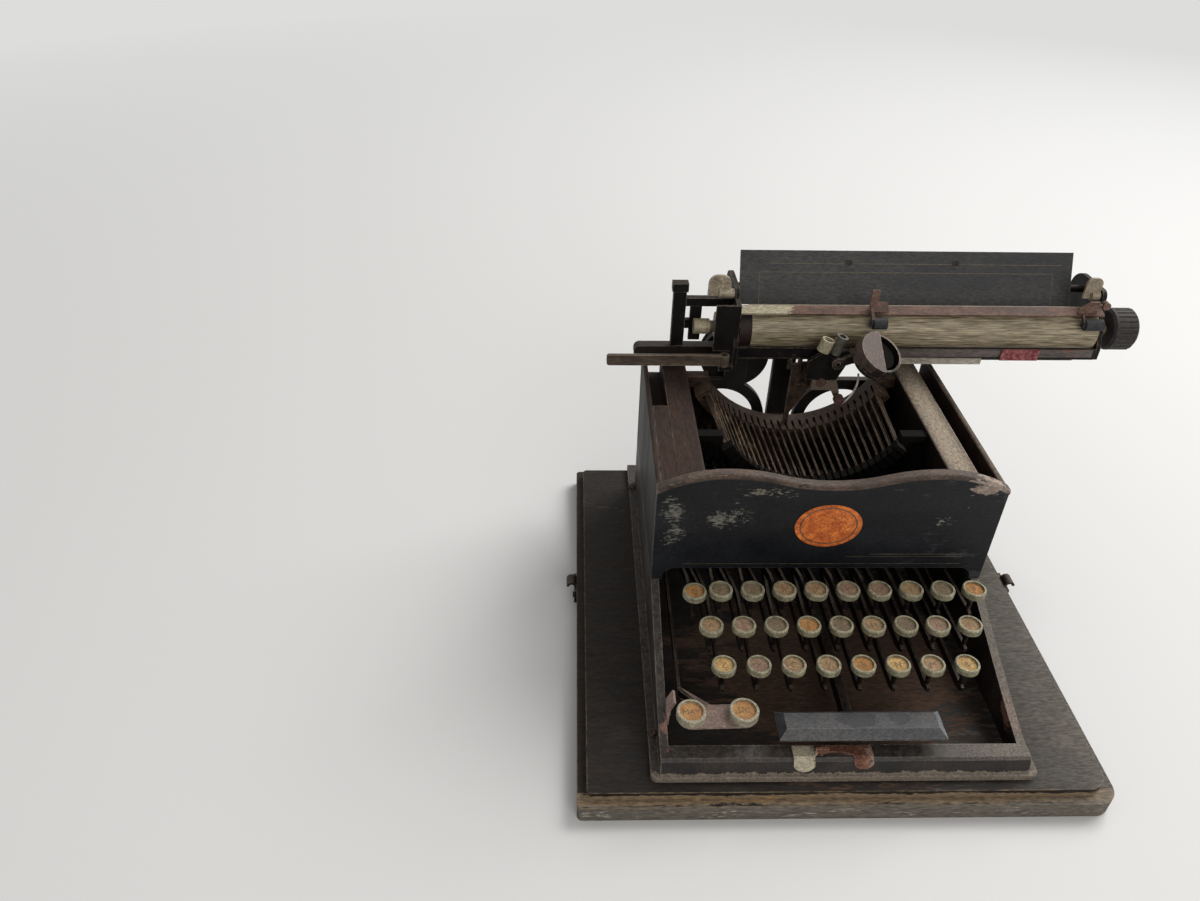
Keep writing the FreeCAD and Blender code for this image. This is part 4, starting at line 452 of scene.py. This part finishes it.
# Forged steel: thin pale edges along each bar, partly wear and partly painted highlights, paler on the bars
# at the left.
typebar_steel_highlit = aged("rubbed_highlit_typebar_steel", "#261b14", "#4a392c", 0.5, 10, metal=0.2, gloss=0.3,
                     flakes=(("#7a6551", 3, 0.0, 0.8, (-75, 60, 100), (80, ANY, ANY), 0.12),),
                     rubbed=("#b09a80", 0.55), drawn=(1, 4, 4))
# Steel under grease: nearly black and matt.
cradle_steel = aged("greasy_cradle_steel", "#090706", "#14100d", 0.8, 12, gloss=0.1,
                    flakes=(("#231b15", 3, 0.05, 0.9),))
paint("type_segment", oiled_steel)
paint("type_guide", oiled_steel)
paint("type_rest", cradle_steel)
# The type slugs, in front of this place, are black with ink and oil.
SLUG_END = 40.0 * MM
for name in ("typebars", "typebar_a", "typebar_b"):
    for face in paint(name, typebar_steel_highlit, cradle_steel).polygons:
        if face.center.y < SLUG_END:
            face.material_index = 1

# ---- keys ----------------------------------------------------------------
# Each key is a blued steel lever and stem under a nickelled ring that holds
# a card legend; nickel gone green-grey, cards yellowed one by one.

# Nickel plate gone green-grey: a soft, partly metal shine with dark specks.
ring_nickel = aged("green_grey_nickel", "#6f6a54", "#908a70", 0.55, 4, metal=0.2,
                   flakes=(("#4b4535", 2, 0.03, 0.8), ("#aba58a", 2.4, 0.02, 0.6)), rubbed=("#b8b299", 0.4))
# Blued steel: blue-black to brown, with a thin worn edge.
lever_steel = aged("blued_lever_steel", "#0d0a08", "#1d1612", 0.5, 12, metal=0.4, gloss=0.3,
                   flakes=(("#33271f", 4, 0.05, 0.8),), rubbed=("#7a6a59", 0.4), dust=("#54463a", 0.4))
# Card tints by letter: grey, tan, yellow, orange and pink.
CARD_COLOURS = {"g": ("#6a5c48", "#806e57"), "t": ("#846a4c", "#9c8060"), "y": ("#a58553", "#bd9b66"),
                "o": ("#92673a", "#ab7d4b"), "p": ("#7b6350", "#917862")}
# Aged card: each one has its own tint, fibrous and spotted, under a dull varnish.
cards = {}
for letter, (dark, pale) in CARD_COLOURS.items():
    cards[letter] = aged("yellowed_card_" + letter, dark, pale, 0.7, 4, gloss=0.25,
                         flakes=(("#54402c", 1.8, 0.03, 0.7),), grit_mm=0.8)
# Faded printer's ink: brown, a little darker than the card.
faded_print = aged("faded_print", "#5b4731", "#6f5940", 0.7, 2)
CARD_ROWS = {"key_top": "oggttpptgo", "key_mid": "tpgogtgpt", "key_low": "ypttoyty"}
LEGENDS = {"key_top": "QWERTYUIOP", "key_mid": "ASDFGHJKL", "key_low": "ZXCVBNM&"}
RING_HEIGHT = 5.2 * MM
RING_OUTER = 7.0 * MM
CARD_RADIUS = 5.5 * MM
DISC_DROP = 1.3 * MM
PRINT_PROUD = 0.04 * MM
LETTER_MM, WORD_MM = 5.4, 5.0
# Slack for finding the faces of the ring.
SLACK = 0.3 * MM


def legend(name, words, place, size_mm, body):
    """Printed letters lying on a card disc."""
    letters = bpy.data.curves.new(name, "FONT")
    letters.body = words
    letters.size = size_mm * MM
    letters.align_x = "CENTER"
    letters.align_y = "CENTER"
    letters.resolution_u = 3
    letters.materials.append(faded_print)
    piece = bpy.data.objects.new(name, letters)
    piece.location = place
    bpy.context.scene.collection.objects.link(piece)
    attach(piece, body)


for name in sorted(n for n in nodes if n[:7] in CARD_ROWS):
    row, number = name[:7], int(name[8:]) - 1
    mesh = paint(name, lever_steel, ring_nickel, cards[CARD_ROWS[row][number]])
    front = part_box(name)[0].y
    near = [v.co for v in mesh.vertices if v.co.y < front + 2 * RING_OUTER + 2 * SLACK]
    top = max(c.z for c in near)
    ring = [c for c in near if c.z > top - RING_HEIGHT + DISC_DROP]
    x = (min(c.x for c in ring) + max(c.x for c in ring)) / 2
    y = (min(c.y for c in ring) + max(c.y for c in ring)) / 2
    for face in mesh.polygons:
        off = math.hypot(face.center.x - x, face.center.y - y)
        if face.center.z > top - RING_HEIGHT - SLACK and off < RING_OUTER + SLACK:
            sunk = top - RING_HEIGHT / 2 < face.center.z < top - DISC_DROP / 2
            face.material_index = 2 if sunk and off < CARD_RADIUS and face.normal.z > 0.9 else 1
    legend("legend_" + name, LEGENDS[row][number], (x, y, top - DISC_DROP + PRINT_PROUD), LETTER_MM, name)

# ---- fulcrum and guide comb ----------------------------------------------
# One drawn steel rod across the base carries all the levers, and a slotted
# comb of sheet steel keeps them apart. Both are blued like the levers.
paint("key_fulcrum", lever_steel)

# ---- shift keys ----------------------------------------------------------
# Plate with two large rings, riveted to one long bent lever. The plating
# has gone and the steel under it has rusted pinkish brown.

# Bare steel under fine rust: pinkish brown and matt.
pink_rust = aged("pinkish_rusted_steel", "#67534b", "#836c61", 0.65, 8,
                 flakes=(("#42322a", 4, 0.05, 0.85),), rubbed=("#a39587", 0.6), dust=("#857565", 0.3))
# Nickel plate gone white-grey: paler than the key rings.
shift_nickel = aged("white_grey_nickel", "#807866", "#a0977f", 0.55, 5, metal=0.2,
                    flakes=(("#52483a", 3, 0.04, 0.8),), rubbed=("#c0b8a2", 0.5))
# Orange card: warmer and darker than the keys' own.
shift_card = aged("orange_card", "#9c7045", "#b58a5b", 0.7, 5, gloss=0.25,
                  flakes=(("#7a5230", 2, 0.02, 0.7),), grit_mm=0.8)
shift_mesh = paint("shift_lever", pink_rust, shift_nickel, shift_card, lever_steel)
SHIFT_PLATE = 49.0 * MM
SHIFT_KEYS = (("MAY", -89.5 * MM, -121.0 * MM), ("SIG", -59.8 * MM, -120.2 * MM))
SHIFT_TOP = 54.0 * MM
SHIFT_CARD = 6.2 * MM
PLATE_BACK = -108 * MM
for face in shift_mesh.polygons:
    off = min(math.hypot(face.center.x - x, face.center.y - y) for word, x, y in SHIFT_KEYS)
    if face.center.z > SHIFT_PLATE + PROUD:
        face.material_index = 2 if off < SHIFT_CARD and face.normal.z > 0.9 else 1
    elif face.center.y > PLATE_BACK:
        face.material_index = 3
for word, x, y in SHIFT_KEYS:
    place = (x, y, SHIFT_TOP - DISC_DROP + PRINT_PROUD)
    legend("legend_shift_" + word.lower(), word, place, WORD_MM, "shift_lever")

# ---- space bar -----------------------------------------------------------
# Wooden bar with bevelled edges under black lacquer that thumbs have rubbed
# to a slate bloom, with darker spots; it sits on a flat steel lever.

# Rubbed lacquer on wood: a slate bloom over black, with two darker spots.
bar_lacquer = aged("slate_rubbed_lacquer", "#3d3c3f", "#504f4e", 0.5, 20, gloss=0.3,
                   flakes=(("#27262c", 4, -0.1, 0.45, (4, -120, 46), (18, 10, ANY), 0.45),
                           ("#27262c", 3, -0.1, 0.45, (29, -121, 46), (10, 8, ANY), 0.45)),
                   rubbed=("#74726e", 1.0), dust=("#5f5b54", 0.25), drawn=(1.6, 1, 1))
# The same lacquer on the left end: near black as painted shade on the side turned from the light, with a
# pale edge.
shade_end = aged("shaded_end_black_lacquer", "#232226", "#37363a", 0.45, 8, rubbed=("#7c7a76", 0.8))
# The same again on the right end: pale blue-grey, a painted reflection of the window light.
reflection_end = aged("end_lacquer_painted_reflection", "#65676b", "#7f8185", 0.5, 8, flakes=(("#45444a", 3, 0.02, 0.5),))
BAR_LOW = 40.9 * MM
bar_mesh = paint("space_bar", bar_lacquer, lever_steel, shade_end, reflection_end)
for face in bar_mesh.polygons:
    if face.center.z < BAR_LOW:
        face.material_index = 1
    # Ends turned to the right take the painted reflection, ends turned to the left the painted shade.
    elif abs(face.normal.x) > 0.4:
        face.material_index = 3 if face.normal.x > 0 else 2
soften("space_bar", 0.6)

# ---- catch bracket and spring finger -------------------------------------
# Sheet-steel catch folded over the rim: cream paint flaking off its left
# lobe, red rust on the rest. The spring finger is pink with old paint.

# Rust on sheet steel: red-brown and gritty, cream paint left on one lobe.
catch_rust = aged("red_brown_rust", "#573629", "#7a5748", 0.8, 6, gloss=0.2,
                  flakes=(("#8f766a", 4, 0.0, 0.8, (15, -134, 28), (13, ANY, ANY), 0.2),
                          ("#ada38d", 5, -0.1, 0.75, (-33, -134, 28), (21, ANY, ANY), 0.45)),
                  rubbed=("#b0907a", 0.4))
paint("front_bracket", catch_rust)
# Faded paint: chalky pink with brown chips.
pink_paint = aged("faded_pink_paint", "#82695f", "#9f877c", 0.6, 8, flakes=(("#5a433c", 4, 0.05, 0.8),))
paint("finger_spring", pink_paint)

# ---- rail and carriage ---------------------------------------------------
# Steel rail across the frames, the folded channel that runs on it and the
# platen's frame, all blackened; the rail's front is rubbed by fingers.

# Blackened drawn steel: dark, marked along its length, pale on its edges.
rail_black = aged("blackened_rail_steel", "#14100e", "#241d19", 0.55, 14, metal=0.2, gloss=0.3,
                  flakes=(("#40342b", 4, 0.04, 0.8),), rubbed=("#6b5f53", 0.6), dust=("#594d43", 0.5),
                  drawn=(5, 1, 1))
# Blackened plate: near black and dull, with pale edges.
plate_black = aged("worn_black_plate", "#0a0807", "#151110", 0.55, 10, gloss=0.15,
                   flakes=(("#4a3a2f", 4, 0.03, 0.8),), rubbed=("#8a7c6c", 0.6), dust=("#5a4e44", 0.5))
paint("carriage_rail", rail_black)
paint("carriage_frame", rail_black)
paint("platen_frame", plate_black)

# ---- platen --------------------------------------------------------------
# Brass tube over a wooden core. Years of paper and damp left it streaked
# along its length, cream to red-brown; the axle is plain steel.

# Drawn brass, tarnished: cream to brown streaks along the tube.
platen_brass = aged("streaked_brass_tube", "#6a5c45", "#a3967b", 0.5, 1.3, metal=0.1,
                    flakes=(("#574233", 0.8, 0.03, 0.75), ("#c0b79e", 0.8, -0.01, 0.5),
                            ("#94604a", 3, -0.08, 0.8, (150, 101, 160), (75, 12, 9), 0.14)),
                    drawn=(12, 1, 1), grit_mm=1.0, grit=0.1)
# Oiled wood: red-black and dull, browner on its edge.
end_wood = aged("dark_end_wood", "#170e0c", "#291a17", 0.6, 10, gloss=0.25,
                flakes=(("#4a3028", 4, 0.04, 0.8),), rubbed=("#5b3f34", 0.6))
# Turned steel, dulled: grey-brown with dark spots.
pale_axle = aged("dull_axle_steel", "#6f6556", "#928772", 0.5, 6, metal=0.3,
                 flakes=(("#4a3a2d", 3, 0.06, 0.8),))
platen_mesh = paint("platen", platen_brass, end_wood, pale_axle)
AXIS_Y, AXIS_Z = 115.0 * MM, 168.0 * MM
AXLE_RADIUS, CORE_RADIUS = 4.3 * MM, 12.5 * MM
TUBE_LEFT = -34.6 * MM
for face in platen_mesh.polygons:
    off = math.hypot(face.center.y - AXIS_Y, face.center.z - AXIS_Z)
    if off < AXLE_RADIUS:
        face.material_index = 2
    elif face.center.x < TUBE_LEFT or off < CORE_RADIUS:
        face.material_index = 1
# Moulded hard rubber: brown-black and dry, grey on its ribs.
hard_rubber = aged("moulded_hard_rubber", "#24201e", "#3a3532", 0.65, 7, gloss=0.3,
                   flakes=(("#524c46", 3, 0.02, 0.8),), rubbed=("#6a6560", 0.5), dust=("#5f5a55", 0.4))
paint("platen_knob", hard_rubber)
# Cut brass, never cleaned: olive brown, brighter on its teeth.
old_brass = aged("old_ratchet_brass", "#54462f", "#75643f", 0.5, 6, metal=0.6,
                 flakes=(("#3a2e20", 3, 0.06, 0.8),), rubbed=("#a08d62", 0.4))
# Flaking nickel plate: pale, with dark bare spots.
nut_nickel = aged("flaked_nut_nickel", "#8a7f66", "#a89d80", 0.5, 5, metal=0.2,
                  flakes=(("#241c16", 3, 0.03, 0.8),))
NUT_RIGHT = -61.0 * MM
ratchet_mesh = paint("ratchet_wheel", old_brass, nut_nickel)
for face in ratchet_mesh.polygons:
    if face.center.x < NUT_RIGHT:
        face.material_index = 1

# ---- carriage fittings ---------------------------------------------------
# Line space lever, paper table, bail, finger, scale, felt and release tabs.
# Plated and japanned steel, each worn in its own way.

# Nickelled steel gone brown: satin, streaked along the lever, pale edges.
lever_plate = aged("browned_lever_plate", "#3b2f25", "#5c4f41", 0.55, 8, metal=0.2,
                   flakes=(("#281e18", 5, 0.04, 0.8),), rubbed=("#a08f77", 0.7), dust=("#796958", 0.3),
                   drawn=(4, 1, 1))
# Aged nickel plate: a warm pale grey with brown spots.
tab_nickel = aged("aged_tab_nickel", "#827564", "#a5977f", 0.5, 6, metal=0.2,
                  flakes=(("#4a3a2d", 4, 0.05, 0.8),), rubbed=("#c6bba2", 0.5))
# Bloomed japan: charcoal grey with a level grain under soft dust.
table_japan = aged("grey_bloomed_japan", "#2c2b2b", "#444342", 0.55, 25, gloss=0.3,
                   flakes=(("#625a52", 3, -0.02, 0.8), ("#222123", 4, 0.0, 0.5)), rubbed=("#7d7166", 0.9),
                   dust=("#66625e", 0.3), drawn=(3, 1, 1))
# Flaking paint: pinkish brown, with a cream patch left at its left end.
bail_paint = aged("flaking_bail_paint", "#4f3a31", "#73594c", 0.65, 8, gloss=0.25,
                  flakes=(("#8a6f5e", 3, 0.0, 0.8),
                          ("#a39a82", 4, -0.1, 0.75, (-43, 105, 184), (51, ANY, ANY), 0.5)),
                  rubbed=("#8f7866", 0.5), drawn=(2.5, 1, 1))
# Perished rubber: a dull blue-black with dusty spots.
roll_rubber = aged("perished_roll_rubber", "#2a292b", "#3d3c3d", 0.7, 5, gloss=0.25,
                   flakes=(("#57504a", 2.5, 0.0, 0.8),))
# Nickelled strip: pale warm grey, streaked along its length.
scale_nickel = aged("scale_nickel", "#8a8175", "#aca294", 0.5, 8, metal=0.15,
                    flakes=(("#5c4c3e", 4, 0.03, 0.8),), drawn=(4, 1, 1))
# Dull rolled steel: grey-brown, with two patches of rust.
strip_steel = aged("dull_strip_steel", "#423a37", "#5a504c", 0.55, 9, metal=0.2,
                   flakes=(("#94735f", 4, -0.04, 0.8, (45, 98, 157), (26, ANY, ANY), 0.3),
                           ("#7a5248", 4, -0.04, 0.8, (190, 98, 157), (26, ANY, ANY), 0.2)),
                   drawn=(4, 1, 1))
# Pressed wool felt: soft, no gloss, matted into small tufts.
red_felt = aged("pressed_red_felt", "#7b4142", "#a96c6c", 0.95, 3, gloss=0.1,
                flakes=(("#c9918a", 1.4, 0.02, 1.0), ("#43201e", 1.6, 0.02, 1.0)), grit_mm=1.4, grit=0.9)
paint("line_space_lever", lever_plate)
table_mesh = paint("paper_table", table_japan, rail_black)
ROLL_Y, ROLL_Z, ROLL_RADIUS = 99.2 * MM, 179.1 * MM, 4.1 * MM
TABLE_LOW = Vector((0, 128.6, 178.0)) * MM
TABLE_SLOPE = Vector((0, 16.4, 33.5)) * MM
TABLE_FACE = Vector((0, -33.5, 16.4)).normalized()
RIVET_LOW = 0.08 * MM
for face in table_mesh.polygons:
    if (face.center - TABLE_LOW).dot(TABLE_FACE) > RIVET_LOW:
        face.material_index = 1
for name in ("paper_bail", "paper_finger"):
    mesh = paint(name, bail_paint, roll_rubber)
    for face in mesh.polygons:
        if math.hypot(face.center.y - ROLL_Y, face.center.z - ROLL_Z) < ROLL_RADIUS:
            face.material_index = 1

# Thin gilt pinstripes frame the paper table: two lines along it and one down
# each side of the lower one, by share of the slope.
STRIPE_MM = 0.5
STRIPE_LEFT, STRIPE_RIGHT = -26.4, 180.4
STRIPE_FOOT, STRIPE_HEAD, STRIPE_UPPER = 0.02, 0.6, 0.76
stripes = bmesh.new()


def table_point(x, share):
    """Place just in front of the table, by its share of the slope."""
    return Vector((x * MM, 0, 0)) + TABLE_LOW + TABLE_SLOPE * share + TABLE_FACE * 2 * PROUD


for x0, x1, share in ((STRIPE_LEFT, STRIPE_RIGHT, STRIPE_HEAD), (-20.0, 186.0, STRIPE_UPPER)):
    line = [table_point(x, share) for x in (x0, (x0 + x1) / 2, x1)]
    ribbon(stripes, line, TABLE_SLOPE, STRIPE_MM)
for x in (STRIPE_LEFT, STRIPE_RIGHT):
    ribbon(stripes, [table_point(x, STRIPE_FOOT), table_point(x, STRIPE_HEAD)], (1, 0, 0), STRIPE_MM)
add_piece("table_pinstripes", stripes, old_gilt, "carriage")
FELT_LEFT, FELT_RIGHT, FELT_LOW = 139.6 * MM, 165.9 * MM, 151.9 * MM
SCALE_TOP, SCALE_RIGHT = 153.3 * MM, 127.1 * MM
scale_mesh = paint("front_scale", scale_nickel, red_felt, strip_steel)
for face in scale_mesh.polygons:
    if FELT_LEFT < face.center.x < FELT_RIGHT and face.center.z > FELT_LOW:
        face.material_index = 1
    elif face.center.z > SCALE_TOP or face.center.x > SCALE_RIGHT:
        face.material_index = 2
paint("release_lever", tab_nickel)

# The felt's front has matted into tufts that stand a millimetre proud.
tufts = bmesh.new()
FELT_X, FELT_Z, FELT_FRONT = (139.7, 165.8), (152.1, 159.9), 97.35
WIDE_LUMPS, FINE_LUMPS, FINE_SHARE = 0.5, 1.2, 0.7
NAP_MM, TUFT_MM = 0.25, 1.5
across, up = 52, 16
sheet = []
for step in range(across + 1):
    x = FELT_X[0] + (FELT_X[1] - FELT_X[0]) * step / across
    column = []
    for lift in range(up + 1):
        z = FELT_Z[0] + (FELT_Z[1] - FELT_Z[0]) * lift / up
        lump = noise.noise((x * WIDE_LUMPS, 1.0, z * WIDE_LUMPS))
        lump += FINE_SHARE * noise.noise((x * FINE_LUMPS, 9.0, z * FINE_LUMPS))
        border = step in (0, across) or lift in (0, up)
        proud = 0.0 if border else NAP_MM + TUFT_MM * max(0.0, lump)
        column.append(tufts.verts.new((x * MM, (FELT_FRONT - proud) * MM, z * MM)))
    sheet.append(column)
for left, right in zip(sheet, sheet[1:]):
    for lift in range(up):
        tufts.faces.new((left[lift], right[lift], right[lift + 1], left[lift + 1])).smooth = True
add_piece("felt_tufts", tufts, red_felt, "carriage")
paint("mainspring_drum", rear_japan)

# ---- inking gear ---------------------------------------------------------
# Black cast bracket with rusty screw and knob and two oiler tubes, and the
# tin guard of the felt ink roller, stained by ink.

# Blacking on cast iron: dark and oily, worn brown low down.
bracket_black = aged("oily_bracket_black", "#0b0908", "#171310", 0.6, 8, gloss=0.15,
                     flakes=(("#6a5d50", 5, -0.06, 0.8, (15, 88, 128), (ANY, ANY, 16), 0.8),),
                     rubbed=("#7a6f62", 0.5))
# Oxidised tube: a cream crust with dark pits.
tube_cream = aged("cream_oxidised_tube", "#8d8268", "#aaa084", 0.6, 3,
                  flakes=(("#1f1912", 2.2, 0.04, 0.8),))
# The other tube: a darker grey crust with a rubbed rim.
tube_grey = aged("grey_oxidised_tube", "#3b3631", "#544e47", 0.6, 4, flakes=(("#231f1b", 2.2, 0.03, 0.8),),
                 rubbed=("#a39a88", 0.7))
# Drawn steel wire: the one bright metal on the machine.
bright_wire = aged("bright_steel_wire", "#b5b0a8", "#d8d4cc", 0.35, 6, metal=0.3)
# Rusted steel: a gritty red-brown.
rusty_head = aged("rusty_screw_head", "#3d241c", "#5f4238", 0.8, 3, flakes=(("#8a6f60", 1.6, 0.0, 0.7),))
LEFT_TUBE = (Vector((15.0, 88.4, 172.5)) * MM, Vector((12.4, 88.4, 164.0)) * MM)
RIGHT_TUBE = (Vector((24.3, 88.4, 175.0)) * MM, Vector((20.6, 88.4, 162.4)) * MM)
LEFT_REACH, RIGHT_REACH = 4.6 * MM, 4.1 * MM
LEFT_LOW, RIGHT_LOW, TUBES_APART = 162.6 * MM, 161.2 * MM, 20 * MM
WIRE_FRONT, WIRE_BACK, WIRE_REACH = 80.4 * MM, 82.0 * MM, 24.2 * MM
WIRE_RING = Vector((12.7, 81.2, 144.6)) * MM
KNOB, KNOB_RADIUS = Vector((27.4, 81.2, 129.4)) * MM, 3.7 * MM
HEAD_BACK, HEAD_TOP = 88.95 * MM, 142 * MM


def from_axis(spot, axis):
    """Distance of a place from the line through two others."""
    along = (axis[1] - axis[0]).normalized()
    return (spot - axis[0] - along * (spot - axis[0]).dot(along)).length


inking_mesh = paint("inking_bracket", bracket_black, tube_cream, tube_grey, rusty_head, bright_wire)
for face in inking_mesh.polygons:
    spot = face.center
    off_ring = math.hypot(spot.x - WIRE_RING.x, spot.z - WIRE_RING.z)
    off_knob = math.hypot(spot.x - KNOB.x, spot.z - KNOB.z)
    if from_axis(spot, LEFT_TUBE) < LEFT_REACH and spot.z > LEFT_LOW and spot.x < TUBES_APART:
        face.material_index = 1
    elif from_axis(spot, RIGHT_TUBE) < RIGHT_REACH and spot.z > RIGHT_LOW:
        face.material_index = 2
    elif WIRE_FRONT < spot.y < WIRE_BACK and off_ring > WIRE_REACH:
        face.material_index = 4 if off_knob > KNOB_RADIUS else 3
    elif spot.y < HEAD_BACK and spot.z < HEAD_TOP:
        face.material_index = 3
# Tinplate: grey-brown with a pale rim, stained darker by ink low down.
cup_tin = aged("stained_tinplate", "#463a34", "#61534b", 0.55, 7, metal=0.15, gloss=0.3,
               flakes=(("#241b16", 5, 0.0, 0.8, (46, 74, 150), (40, ANY, 18), 0.4),),
               rubbed=("#bdb2a1", 0.5))
# Felt soaked with ink: black, soft and rough.
ink_felt = aged("inked_felt_roller", "#0a0807", "#16120f", 0.9, 4, gloss=0.1, grit=0.5)
cup_mesh = paint("ink_cup", cup_tin, ink_felt)
CUP_MIDDLE = Vector((46.0, 78.0, 165.0)) * MM
CUP_AXIS = Vector((0.31, -0.44, 0.84)).normalized()
ROLLER_REACH, ROLLER_LOW, ROLLER_TOP = 13.4 * MM, -5.0 * MM, 5.9 * MM
for face in cup_mesh.polygons:
    from_middle = face.center - CUP_MIDDLE
    along = from_middle.dot(CUP_AXIS)
    off = (from_middle - CUP_AXIS * along).length
    if off < ROLLER_REACH and ROLLER_LOW < along < ROLLER_TOP:
        face.material_index = 1

# ---- floor, lamps and camera ---------------------------------------------
# Plain pale sheet that fades into an even pale room, a large window lamp
# behind on the right, and a weak one in front.
floor_mesh = bpy.data.meshes.new("pale_sheet")
sheet_form = bmesh.new()
REACH = 12.0
corners = ((-REACH, -REACH), (REACH, -REACH), (REACH, REACH), (-REACH, REACH))
sheet_form.faces.new([sheet_form.verts.new((x, y, 0)) for x, y in corners])
sheet_form.to_mesh(floor_mesh)
sheet_form.free()
floor = bpy.data.objects.new("floor", floor_mesh)
bpy.context.scene.collection.objects.link(floor)


def looked_at(tree):
    """1 where the camera, a reflection or a view through glass sees the surface, else 0."""
    rays = add(tree, "LightPath").outputs
    seen = rays["Is Camera Ray"]
    for kind in ("Is Glossy Ray", "Is Transmission Ray"):
        seen = add(tree, "Math", {0: seen, 1: rays[kind]}, operation="MAXIMUM").outputs[0]
    return seen


# Matt card, which far from the machine gives way to the colour of the room, so
# that no horizon shows.
FADE_FROM, FADE_TO = 0.6, 2.2
pale = bpy.data.materials.new("pale_floor")
pale.use_nodes = True
tree = pale.node_tree
tree.nodes.clear()
paper = add(tree, "BsdfPrincipled", {"Base Color": linear("#dcdbd9"), "Roughness": 0.7}).outputs[0]
room = add(tree, "Emission", {"Color": linear("#dddddc"), "Strength": 1.0}).outputs[0]
spot = add(tree, "TexCoord").outputs["Object"]
away = add(tree, "VectorMath", {0: spot}, operation="LENGTH").outputs["Value"]
away = add(tree, "MapRange", {"Value": away, "From Min": FADE_FROM, "From Max": FADE_TO}).outputs[0]
away = add(tree, "Math", {0: away, 1: looked_at(tree)}, operation="MULTIPLY").outputs[0]
add(tree, "OutputMaterial", {"Surface": add(tree, "MixShader", {0: away, 1: paper, 2: room}).outputs[0]})
floor_mesh.materials.append(pale)

# The room gives a weak even light, and looks paler than the light it gives.
ROOM_LIGHT, ROOM_SEEN = 0.45, 0.85
world = bpy.data.worlds.new("studio")
bpy.context.scene.world = world
world.use_nodes = True
tree = world.node_tree
strength = add(tree, "MapRange", {"Value": looked_at(tree), "To Min": ROOM_LIGHT,
                                  "To Max": ROOM_SEEN}).outputs[0]
tree.links.new(strength, tree.nodes["Background"].inputs["Strength"])
tree.nodes["Background"].inputs["Color"].default_value = linear("#eeeeed")
# Each lamp has a name, a place and a side in metres, and its power in watts.
AIM = Vector((0, 0, 0.1))
LAMPS = (("window", (1.9, 1.4, 2.3), 2.0, 94), ("fill", (0.7, -2.0, 1.2), 1.6, 17))
for name, place, size, power in LAMPS:
    lamp = bpy.data.lights.new(name, "AREA")
    lamp.size = size
    lamp.energy = power
    holder = bpy.data.objects.new(name, lamp)
    holder.location = place
    holder.rotation_mode = "QUATERNION"
    holder.rotation_quaternion = (AIM - Vector(place)).to_track_quat("-Z", "Y")
    bpy.context.scene.collection.objects.link(holder)

# The camera is turned to the right, tipped down and rolled by these angles.
YAW, PITCH, ROLL = (math.radians(a) for a in (2.02, 35.9, 1.34))
EYE = (-0.15509, -0.44245, 0.46499)
camera = bpy.data.objects.new("camera", bpy.data.cameras.new("camera"))
bpy.context.scene.collection.objects.link(camera)
camera.data.sensor_width = 36
camera.data.lens = 27.19
camera.data.clip_start = 0.01
right = Vector((math.cos(YAW), -math.sin(YAW), 0))
ahead = Vector((math.sin(YAW) * math.cos(PITCH), math.cos(YAW) * math.cos(PITCH), -math.sin(PITCH)))
up = right.cross(ahead)
turned_right = right * math.cos(ROLL) + up * math.sin(ROLL)
turned_up = up * math.cos(ROLL) - right * math.sin(ROLL)
camera.matrix_world = Matrix([(*turned_right, 0), (*turned_up, 0), (*-ahead, 0), (*EYE, 1)]).transposed()
bpy.context.scene.camera = camera
bpy.context.scene.view_settings.view_transform = "Standard"
